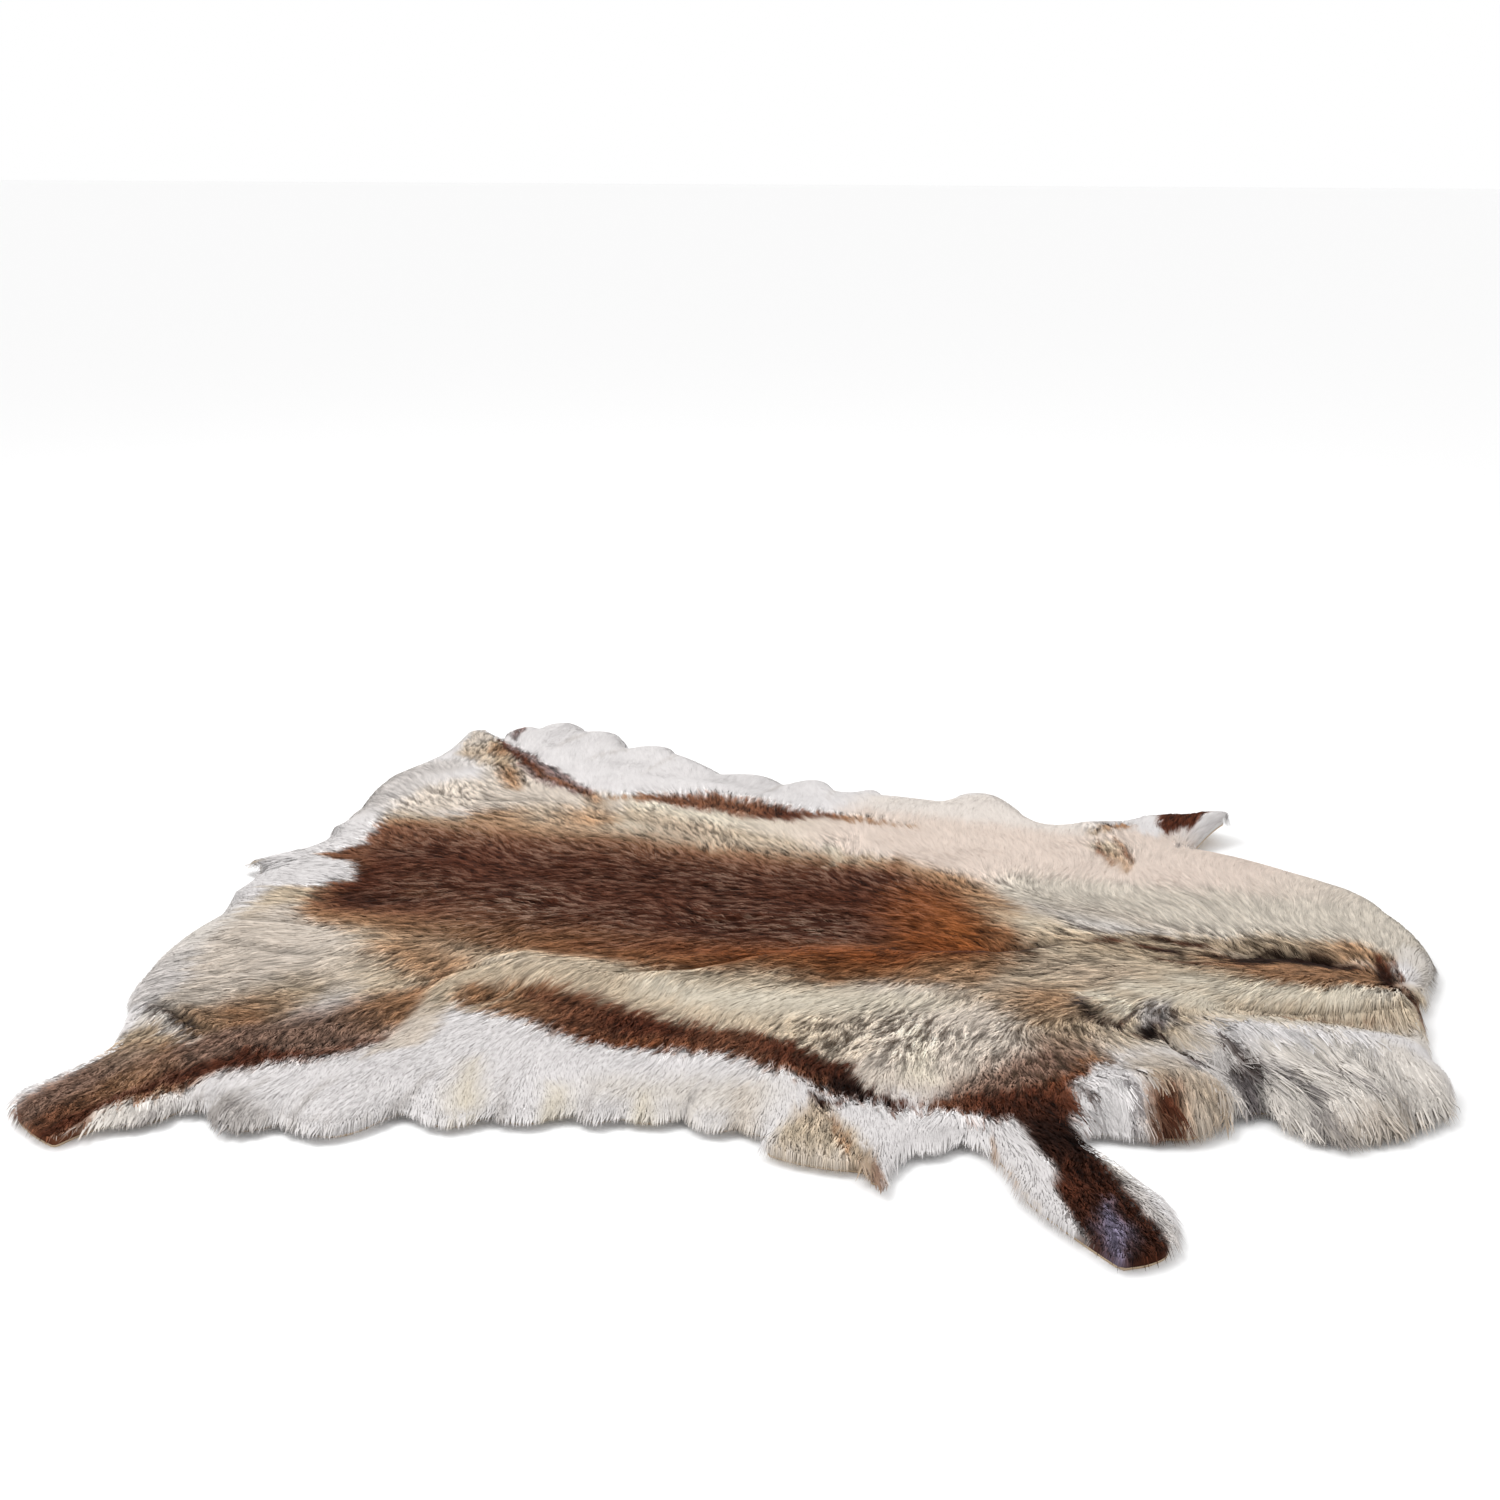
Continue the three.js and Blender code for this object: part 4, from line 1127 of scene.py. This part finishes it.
class HideLocks(bpy.types.PropertyGroup):
    count: IntProperty(
        name="Locks", description="Long locks of mane, chest, armpit, tail, hind leg and belly",
        default=16500, min=100, max=19000)
    width: FloatProperty(
        name="Width", description="Width of a lock at its middle",
        default=0.0015, min=0.0003, max=0.004, unit="LENGTH")
    tuft: FloatProperty(
        name="Wisp", description="Distance between wisps",
        default=0.013, min=0.003, max=0.04, unit="LENGTH")


class HideStage(bpy.types.PropertyGroup):
    floor: FloatVectorProperty(
        name="Floor", description="Colour of the floor", subtype="COLOR",
        default=(0.96, 0.96, 0.96), min=0.0, max=1.0)
    sky: FloatProperty(
        name="Surrounding light", description="Strength of the light from all round",
        default=1.0, min=0.0, max=5.0)
    key: FloatProperty(
        name="Main light", description="Power of the large soft light", default=32.0,
        min=0.0, max=1000.0, unit="POWER")
    lens: FloatProperty(
        name="Lens", description="Focal length of the camera, in millimetres",
        default=44.88, min=10.0, max=200.0)


# ---- operators ----
class HIDE_OT_leather(bpy.types.Operator):
    """Makes the leather that the hair grows on"""

    bl_idname = "hide.leather"
    bl_label = "Leather"

    def execute(self, context):
        """A slab on the plan: its under side on the folds' rise, its upper side a thickness
        above that."""
        sizes = context.scene.hide_leather
        x, y, cells = plan_cells(sizes.cell * 1000, sizes.inset * 1000)
        rise = HIDE.rise.at(x, y)
        points, faces = slab(x, y, cells, rise, rise + sizes.thickness * 1000)
        leather = new_object(fresh("leather"), points, faces, leather_material(sizes))
        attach(leather, "root")
        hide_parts("hide")
        return {"FINISHED"}


FUR_GAP = 0.2  # the underfur starts this far above the leather
FUR_LEAST = 0.8  # and is at least this deep
FUR_LUMPS = ((0.6, 11, 21), (0.4, 26, 22))  # its lumps: their say, size and seed
LUMPS_LESS, BELOW_LESS = 0.8, 0.7  # less lumpy, and less far below the tips, where silky
FUR_ROUND = 4.0  # its rounded edge starts this far outside the leather's rim


class HIDE_OT_underfur(bpy.types.Operator):
    """Makes the dense underfur that closes the coat between the hairs"""

    bl_idname = "hide.underfur"
    bl_label = "Underfur"

    def execute(self, context):
        """A slab from the leather's upper side to a little below the hair's tips, its upper side
        lumpy by drift() at two sizes, with painted shade where it is low, and higher and more
        even in the pale silky coat."""
        sizes = context.scene.hide_underfur
        leather = context.scene.hide_leather
        inset = leather.inset * 1000
        x, y, cells = plan_cells(sizes.cell * 1000, inset)
        base = HIDE.rise.at(x, y) + leather.thickness * 1000 + FUR_GAP
        silky = HIDE.silky(x, y)
        lump = sum(say * drift(x, y, size, seed) for say, size, seed in FUR_LUMPS) - 0.5
        lump *= 1 - LUMPS_LESS * silky
        below = sizes.below * (1 - BELOW_LESS * silky)
        within = HIDE.depth(x, y, inset - FUR_ROUND) - HIDE.depth(x, y)
        high = HIDE.top.at(x, y) + within - 1000 * (below - 2 * sizes.lumps * lump)
        high = np.maximum(high, base + FUR_LEAST)
        points, faces = slab(x, y, cells, base, high)
        # painted shade: the underfur is darker where its lumps are low
        tone = sizes.shade * (1 + 0.5 * lump)
        colours = HIDE.coat(x, y) * tone[:, None]
        material = coat_material("underfur", roughness=0.95)
        underfur = new_object(fresh("underfur"), points, faces, material,
                              np.concatenate([colours, colours]))
        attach(underfur, "root")
        return {"FINISHED"}


PROBES = 40000  # random places that tell how much of a strip the hide covers


def hair_roots(count, low, high, rng):
    """About count roots between two values of x: one to a square of a grid, moved at random
    within it, and kept if it is on the leather."""
    inset = bpy.context.scene.hide_leather.inset * 1000
    right, left = Chart.LOW[1], Chart.HIGH[1]
    probe_x, probe_y = rng.uniform(low, high, PROBES), rng.uniform(right, left, PROBES)
    share = np.mean(HIDE.edge.at(probe_x, probe_y) > inset)
    step = math.sqrt((high - low) * (left - right) * share / count)
    xs, ys = np.arange(low, high, step), np.arange(right, left, step)
    x, y = (a.ravel() for a in np.meshgrid(xs, ys, indexing="ij"))
    x, y = x + rng.uniform(0, step, x.shape), y + rng.uniform(0, step, x.shape)
    keep = (HIDE.edge.at(x, y) > inset - 1.0) & (x < high)
    return x[keep], y[keep]


HAIR_SEED = 100  # and one more for each further piece
TUFT_TURN, HAIR_TURN = 0.5, 0.14  # radians that a tuft, and a lock in it, turn off the lie
SILKY_TURN = 0.7  # share by which they turn less in the silky coat
REACH = (0.7, 1.25)  # least and most reach of a lock, times its lean
DARK_REACH, SILKY_REACH = 0.62, 0.6  # times this in the dark coat, and this more in the silky
ROOT_BELOW = 5.0  # how far a root lies below the hair's top
LOOSE = 1.5  # how far below the top a loose lock may lie
LOWEST = 0.3  # hair keeps this far off the surface
BEND_AT = 0.45  # share of the way from root to tip at which a short lock bends
SHORTEST = 0.15  # share of its reach that a lock keeps at the edge
TIP_AT_EDGE, TIP_RISE = 0.45, 0.55  # a tip's height at the edge, and its rise from there inwards
SWING = (1.8, 0.4, 0.8)  # say of streak, wisp and own number in the swing of a lock's colour
DARK_SWING, SILKY_CALM = 0.8, 0.74  # how far it swings, and how much less in the silky coat
TICK_BELOW, TICK_SOFT = 0.42, 0.2  # streaks under this number are dark ticks, with a soft border
DUST_ABOVE, DUST_SOFT = 0.55, 0.3  # streaks over this number are dusty
# painted shade in the creases: the hair is darkened with a crease's depth
GROOVE_DEPTH = 7.0  # a crease this deep is at its darkest
GROOVE_SHADE = 0.9  # share of the light that is lost there
SHADED_BELOW = 11.0  # height under which the hair turned down over the edge is dim
SHADED = 0.4  # share of the light that is lost at the surface
LEAF_SHADE = (-0.2, -0.04, -0.04, 0.04)  # light gained at a short lock's root, sides and tip
LOCK_SHADE = (-0.16, 0.04)  # the same at a long lock's root and tip
LIGHTEST = 0.97  # no hair sends back more of the light than this


def leaf_locks(x, y, sizes, rng):
    """Short locks, each a leaf of two triangles from root to tip, widest and bent near its
    middle. The tip is a reach away along the lie, drawn towards the middle of its tuft, and lies
    a random step below the hair's top there, lower near the edge. In the pale silky coat it
    turns, draws and strays less. Gives points, faces, colours and the coat's normals."""
    count = len(x)
    mx, my, tall, _ = tufts(x, y, sizes.tuft * 1000, 31)
    silky = HIDE.silky(x, y)
    lie = HIDE.lie.at(x, y) + HIDE.outward(x, y)
    turn = TUFT_TURN * (tall - 0.5) + rng.normal(0, HAIR_TURN, count)
    turn *= 1 - SILKY_TURN * silky
    step = turned(unit(lie), turn)
    reach = sizes.lean * HIDE.depth(x, y) * rng.uniform(*REACH, count)
    reach *= DARK_REACH + SILKY_REACH * silky
    tip_x, tip_y = x + step[:, 0] * reach, y + step[:, 1] * reach
    drawn = sizes.gather * rng.uniform(0.5, 1.0, count) * (1 - SILKY_EVEN * silky)
    tip_x += (mx - x) * drawn
    tip_y += (my - y) * drawn
    over = sizes.overhang * 1000 * rng.uniform(0.0, 1.0, count)
    inside, beyond = HIDE.edge.at(x, y), HIDE.edge.at(tip_x, tip_y)
    short = np.clip((inside + over) / np.maximum(inside - beyond, 1e-3), SHORTEST, 1.0)
    short = np.where(beyond < -over, short, 1.0)
    tip_x, tip_y = x + (tip_x - x) * short, y + (tip_y - y) * short
    rim = np.clip(HIDE.edge.at(tip_x, tip_y) / sizes.droop / 1000, 0, 1)
    loose = rng.uniform(0, 1, count) * (1 - 0.8 * silky)
    tip_z = HIDE.top.at(tip_x, tip_y) * (TIP_AT_EDGE + TIP_RISE * rim) - LOOSE * loose
    mid_x, mid_y = mix(x, tip_x, BEND_AT), mix(y, tip_y, BEND_AT)
    mid_z = HIDE.top.at(mid_x, mid_y) - LOOSE * (0.2 + 0.8 * loose)
    root_z = HIDE.top.at(x, y) - ROOT_BELOW
    normal = np.stack([*HIDE.top.slope(mid_x, mid_y), np.full(count, -1.0)], 1)
    normal += rng.normal(0, 0.10, (count, 3)) * (1 - SILKY_TURN * silky)[:, None]
    side = unit(np.stack([-(tip_y - y), tip_x - x], 1))
    half = sizes.width * 500 * rng.uniform(0.7, 1.3, count)
    roll = rng.normal(0, 0.15, count)
    across = side * (half * np.cos(roll))[:, None]
    lift = half * np.sin(roll)
    points = np.empty((count, 4, 3))
    points[:, 0] = np.stack([x, y, root_z], 1)
    points[:, 1] = np.stack([mid_x - across[:, 0], mid_y - across[:, 1], mid_z - lift], 1)
    points[:, 2] = np.stack([mid_x + across[:, 0], mid_y + across[:, 1], mid_z + lift], 1)
    points[:, 3] = np.stack([tip_x, tip_y, tip_z], 1)
    points[..., 2] = np.maximum(points[..., 2], LOWEST)
    first = np.arange(count)[:, None] * 4
    faces = np.stack([first + (0, 1, 2), first + (2, 1, 3)], 1).reshape(-1, 3)
    px = np.stack([mid_x, mid_x, mid_x, tip_x], 1)
    py = np.stack([mid_y, mid_y, mid_y, tip_y], 1)
    colours = leaf_colours(px, py, points[..., 2], silky, sizes, rng)
    return points.reshape(-1, 3), faces, colours, np.repeat(-unit(normal), 4, axis=0)


def leaf_colours(px, py, pz, silky, sizes, rng):
    """Colours of the four points of each short lock: the coat's colour where the lock lies, with
    a swing by its streak and its own random number, dark ticks, dusty tips, painted shade in the
    creases, at the root, and at the lower edge where the hair turns down to the floor."""
    colours = HIDE.coat(px, py)
    comb, wisp = HIDE.comb.at(px, py), HIDE.wisp.at(px, py)
    own = rng.uniform(-0.5, 0.5, (len(px), 1))
    swing = SWING[0] * (comb - 0.5) + SWING[1] * (wisp - 0.5) + SWING[2] * own
    colours *= (1 + swing * (DARK_SWING - SILKY_CALM * silky[:, None]))[..., None]
    ticks = HIDE.dark.at(px, py) * np.clip((TICK_BELOW - comb) / TICK_SOFT + own, 0, 1)
    colours = mix(colours, np.array(sizes.ticking[:]), 0.9 * ticks[..., None])
    dusty = HIDE.dust.at(px, py) * np.clip((comb - DUST_ABOVE) / DUST_SOFT + own, 0, 1)
    colours = mix(colours, np.array(sizes.dusty[:]), dusty[..., None])
    # painted shade in the creases
    groove = np.clip(HIDE.groove.at(px, py) / GROOVE_DEPTH, 0, 1)
    colours *= 1 - (GROOVE_SHADE - 0.35 * silky[:, None, None]) * groove[..., None]
    shade = 1 + np.array(LEAF_SHADE) * (1 - 0.8 * silky[:, None])
    shade *= 1 - SHADED * np.clip(1 - pz / SHADED_BELOW, 0, 1)
    colours *= shade[..., None]
    return np.clip(colours.reshape(-1, 3), 0, LIGHTEST)


# The four pieces that the short hair is made in: name, and where each starts and ends along x.
HAIR_PIECES = {
    "hair_rump": (-60.0, 270.0),
    "hair_loin": (270.0, 560.0),
    "hair_shoulder": (560.0, 880.0),
    "hair_neck": (880.0, 1320.0),
}


class HIDE_OT_hair(bpy.types.Operator):
    """Makes the short hair, in four pieces from rump to neck"""

    bl_idname = "hide.hair"
    bl_label = "Hair"

    def execute(self, context):
        sizes = context.scene.hide_hair
        material = coat_material("hair", roughness=0.7)
        for number, (name, (low, high)) in enumerate(HAIR_PIECES.items()):
            rng = np.random.default_rng(HAIR_SEED + number)
            x, y = hair_roots(sizes.count, low, high, rng)
            points, faces, colours, normals = leaf_locks(x, y, sizes, rng)
            hair = new_object(fresh(name), points, faces, material, colours, normals)
            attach(hair, "root")
        return {"FINISHED"}


LOCK_SEED = 200
LOCK_STEPS = 5  # lengthwise steps of a long lock
LOCK_INSET = 9.0  # long locks start at least this far in from the edge
WISP_TURN, LOCK_TURN = 0.7, 0.08  # radians that a wisp, and a lock in it, turn off the lie
WISP_BEND, LOCK_BEND = 0.5, 0.12  # and that they bend on the way to the tip
BELLY_LINE = -350.0  # past this y, the long locks of the pale coat lie smooth
HELD_BACK = 0.12  # share of a step that a lock makes where it would pass the edge too far
LOCK_SINK = 0.22  # share of the coat's depth that a long lock's tip sinks
SINK_FROM, SINK_OVER = 0.55, 0.45  # where along it that begins, and over how much of it
LOCK_END = 0.06  # width of a lock's tip, as a share of its full width


def lock_starts(sizes, rng):
    """Where the long locks start: places at random in each round spot of the table, as many as
    its share, with the length and the way past the edge that each may have."""
    total = sum(spot[5] for spot in LONG_LOCKS.values())
    parts = []
    for cx, cy, reach, length, over, share in LONG_LOCKS.values():
        count = round(sizes.count * share / total)
        angle = rng.uniform(0, 2 * math.pi, count)
        radius = reach * np.sqrt(rng.uniform(0, 1, count))
        x, y = cx + radius * np.cos(angle), cy + radius * np.sin(angle)
        keep = HIDE.edge.at(x, y) > LOCK_INSET
        full = length * rng.uniform(0.6, 1.15, count)
        parts.append(np.stack([x, y, full, np.full(count, float(over))], 1)[keep])
    return np.concatenate(parts).T


def lock_paths(x, y, length, over, sizes, rng):
    """Middle lines of the long locks. Each sets out along the lie of the hair, turned with its
    wisp, and bends more with every step, draws in to the middle of its wisp, and lies on the
    coat, sinking to its tip. A step that would pass the edge too far is cut short. In the
    belly's pale coat a lock turns and draws less. Gives the lines, the steps that they set out
    with, their wisps' random numbers and how loose each lock is."""
    count = len(x)
    mx, my, tall, tone = tufts(x, y, sizes.tuft * 1000, 51)
    loose = 1 - SILKY_EVEN * HIDE.silky(x, y) * (y < BELLY_LINE)
    turn = (WISP_TURN * (tall - 0.5) + rng.normal(0, LOCK_TURN, count)) * loose
    step = turned(unit(HIDE.lie.at(x, y)), turn)
    bend = WISP_BEND * (tone - 0.5) + rng.normal(0, LOCK_BEND, count)
    draw = rng.uniform(0.6, 0.95, count) * loose
    base = HIDE.depth(x, y)
    rows = []
    px, py = x, y
    for number in range(LOCK_STEPS + 1):
        t = number / LOCK_STEPS
        if number:
            heading = turned(step, bend * t)
            stride = length / LOCK_STEPS
            nx, ny = px + heading[:, 0] * stride, py + heading[:, 1] * stride
            held = HIDE.edge.at(nx, ny) < -over
            px = np.where(held, mix(px, nx, HELD_BACK), nx)
            py = np.where(held, mix(py, ny, HELD_BACK), ny)
        gx, gy = px + (mx - x) * draw * t, py + (my - y) * draw * t
        cover = HIDE.top.at(gx, gy)
        lifted = math.sin(min(t * 2.2, 1.0) * math.pi / 2)
        height = mix(0.5, 0.94 + 0.12 * tall * loose, lifted)
        sink = LOCK_SINK * max(t - SINK_FROM, 0.0) / SINK_OVER
        rows.append(np.stack([gx, gy, cover - base * (1 - height) - base * sink], 1))
    return np.stack(rows, 1), step, tone, loose


def ribbons(path, width, rng):
    """Ribbons along lines, each of a random width about the given one, that taper to both ends
    as a sine does: a point on either side of each of the line's own, square to it in plan and
    kept off the surface. Gives points, faces and the coat's normals."""
    count, rings = path.shape[:2]
    ahead = np.gradient(path, axis=1)
    side = unit(np.stack([-ahead[..., 1], ahead[..., 0], np.zeros((count, rings))], -1))
    taper = np.sin(np.linspace(0.25, 1.0, rings) * math.pi)
    taper[-1] = LOCK_END
    half = width * 500 * rng.uniform(0.6, 1.3, count)
    across = side * (half[:, None] * taper)[..., None]
    slopes = HIDE.top.slope(path[..., 0], path[..., 1])
    normals = unit(np.stack([-slopes[0], -slopes[1], np.ones((count, rings))], -1))
    points = np.stack([path - across, path + across], 2).reshape(-1, 3)
    points[:, 2] = np.maximum(points[:, 2], LOWEST)
    first = 2 * np.arange(count * rings).reshape(count, rings)[:, :-1].reshape(-1, 1)
    faces = np.concatenate([first + (0, 2, 1), first + (1, 2, 3)], 0)
    return points, faces, np.repeat(normals, 2, axis=1).reshape(-1, 3)


def lock_colours(x, y, length, step, tone, loose, rng):
    """Colours of the ribbons' points: the coat's colour a little way along each lock, lighter or
    darker by its wisp and by a random number, darker among dark hairs, and dim at its root."""
    colour = HIDE.coat(x + 0.3 * step[:, 0] * length, y + 0.3 * step[:, 1] * length)
    light = 1.0 + (0.5 * (tone - 0.5) + rng.uniform(-0.25, 0.25, len(x))) * loose
    deep = np.clip((TICK_BELOW - HIDE.wisp.at(x, y)) / TICK_SOFT, 0, 1)
    light *= 1 - 0.75 * (HIDE.dark.at(x, y) * deep) * rng.uniform(0.3, 1.0, len(x))
    shade = 1 + np.linspace(*LOCK_SHADE, LOCK_STEPS + 1) * loose[:, None]
    colours = colour[:, None, :] * (light[:, None] * shade)[..., None]
    return np.clip(np.repeat(colours, 2, axis=1).reshape(-1, 3), 0, LIGHTEST)


class HIDE_OT_locks(bpy.types.Operator):
    """Makes the long locks of mane, chest, armpit, tail, hind leg and belly"""

    bl_idname = "hide.locks"
    bl_label = "Long locks"

    def execute(self, context):
        sizes = context.scene.hide_locks
        rng = np.random.default_rng(LOCK_SEED)
        x, y, length, over = lock_starts(sizes, rng)
        path, step, tone, loose = lock_paths(x, y, length, over, sizes, rng)
        points, faces, normals = ribbons(path, sizes.width, rng)
        colours = lock_colours(x, y, length, step, tone, loose, rng)
        material = coat_material("long_hair", roughness=0.6)
        locks = new_object(fresh("long_locks"), points, faces, material, colours, normals)
        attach(locks, "root")
        return {"FINISHED"}


# The studio, in metres: the floor, and the places and directions of the lamp and the camera.
FLOOR_HALF = 40.0  # half of the floor's side
FLOOR_DROP = 0.0004  # how far it lies under the hide
LAMP_SIZE = 1.6
LAMP_AT, LAMP_AIM = (-1.3, -0.3, 2.3), (1.4, 0.3, -2.3)
CAMERA_AT, CAMERA_AIM = (0.489, -1.809, 0.818), (-0.27186, 0.91193, -0.30736)


def stand(name, data, place, aim):
    """Puts a lamp or camera in the scene, facing along aim with its upper side up."""
    made = bpy.data.objects.new(fresh(name), data)
    made.location = place
    made.rotation_euler = Vector(aim).to_track_quat("-Z", "Y").to_euler()
    bpy.context.scene.collection.objects.link(made)
    return made


class HIDE_OT_stage(bpy.types.Operator):
    """Makes the floor, the lights and the camera"""

    bl_idname = "hide.stage"
    bl_label = "Studio"

    def execute(self, context):
        sizes = context.scene.hide_stage
        shader = Shader("studio_floor")
        material = shader.finish(Base_Color=(*sizes.floor, 1.0), Roughness=0.9,
                                 Specular_IOR_Level=0.1)
        half = FLOOR_HALF * 1000
        corners = np.array([(-half, -half), (half, -half), (half, half), (-half, half)])
        points = np.column_stack([corners - ORIGIN, np.full(4, -FLOOR_DROP * 1000)])
        floor = new_object(fresh("studio_floor"), points, np.array([[0, 1, 2, 3]]), material)

        world = bpy.data.worlds.new("studio")
        world.use_nodes = True
        background = world.node_tree.nodes["Background"]
        background.inputs["Color"].default_value = (1.0, 1.0, 1.0, 1.0)
        background.inputs["Strength"].default_value = sizes.sky
        context.scene.world = world

        lamp = bpy.data.lights.new("key_light", "AREA")
        lamp.shape, lamp.size = "DISK", LAMP_SIZE
        lamp.energy = sizes.key
        stand("key_light", lamp, LAMP_AT, LAMP_AIM)

        view = bpy.data.cameras.new("camera")
        view.lens, view.sensor_width = sizes.lens, 36.0
        context.scene.camera = stand("camera", view, CAMERA_AT, CAMERA_AIM)
        context.scene.view_settings.view_transform = "Standard"
        return {"FINISHED"}


class HIDE_PT_panel(bpy.types.Panel):
    """Lists the pieces of the hide and their sizes"""

    bl_idname = "HIDE_PT_panel"
    bl_label = "Reindeer Hide"
    bl_space_type = "VIEW_3D"
    bl_region_type = "UI"
    bl_category = "Hide"

    def draw(self, context):
        for title, group, operator in STEPS:
            box = self.layout.box()
            sizes = getattr(context.scene, group)
            for name in sizes.__annotations__:
                box.prop(sizes, name)
            box.operator(operator, text=title)


# Each step: its title, its settings' name on the scene, and its operator.
STEPS = (
    ("Leather", "hide_leather", "hide.leather"),
    ("Underfur", "hide_underfur", "hide.underfur"),
    ("Hair", "hide_hair", "hide.hair"),
    ("Long locks", "hide_locks", "hide.locks"),
    ("Studio", "hide_stage", "hide.stage"),
)
GROUPS = (HideLeather, HideUnderfur, HideHair, HideLocks, HideStage)
CLASSES = GROUPS + (
    HIDE_OT_leather, HIDE_OT_underfur, HIDE_OT_hair, HIDE_OT_locks, HIDE_OT_stage,
    HIDE_PT_panel,
)


def register():
    for cls in CLASSES:
        bpy.utils.register_class(cls)
    for (_, name, _), group in zip(STEPS, GROUPS):
        setattr(bpy.types.Scene, name, PointerProperty(type=group))


def unregister():
    for _, name, _ in STEPS:
        delattr(bpy.types.Scene, name)
    for cls in reversed(CLASSES):
        bpy.utils.unregister_class(cls)


def declare_sheet():
    sizes = bpy.context.scene.hide_leather
    x, y, cells = plan_cells(sizes.cell * 1000, sizes.inset * 1000)
    flat = ((y.max() - y.min()) / 1000, (x.max() - x.min()) / 1000)
    plan_area(x, y, cells)


def main():
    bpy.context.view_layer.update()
    register()
    bpy.ops.hide.leather()
    bpy.ops.hide.underfur()
    bpy.ops.hide.hair()
    bpy.ops.hide.locks()
    bpy.ops.hide.stage()
    declare_sheet()


if __name__ == "__main__":
    main()
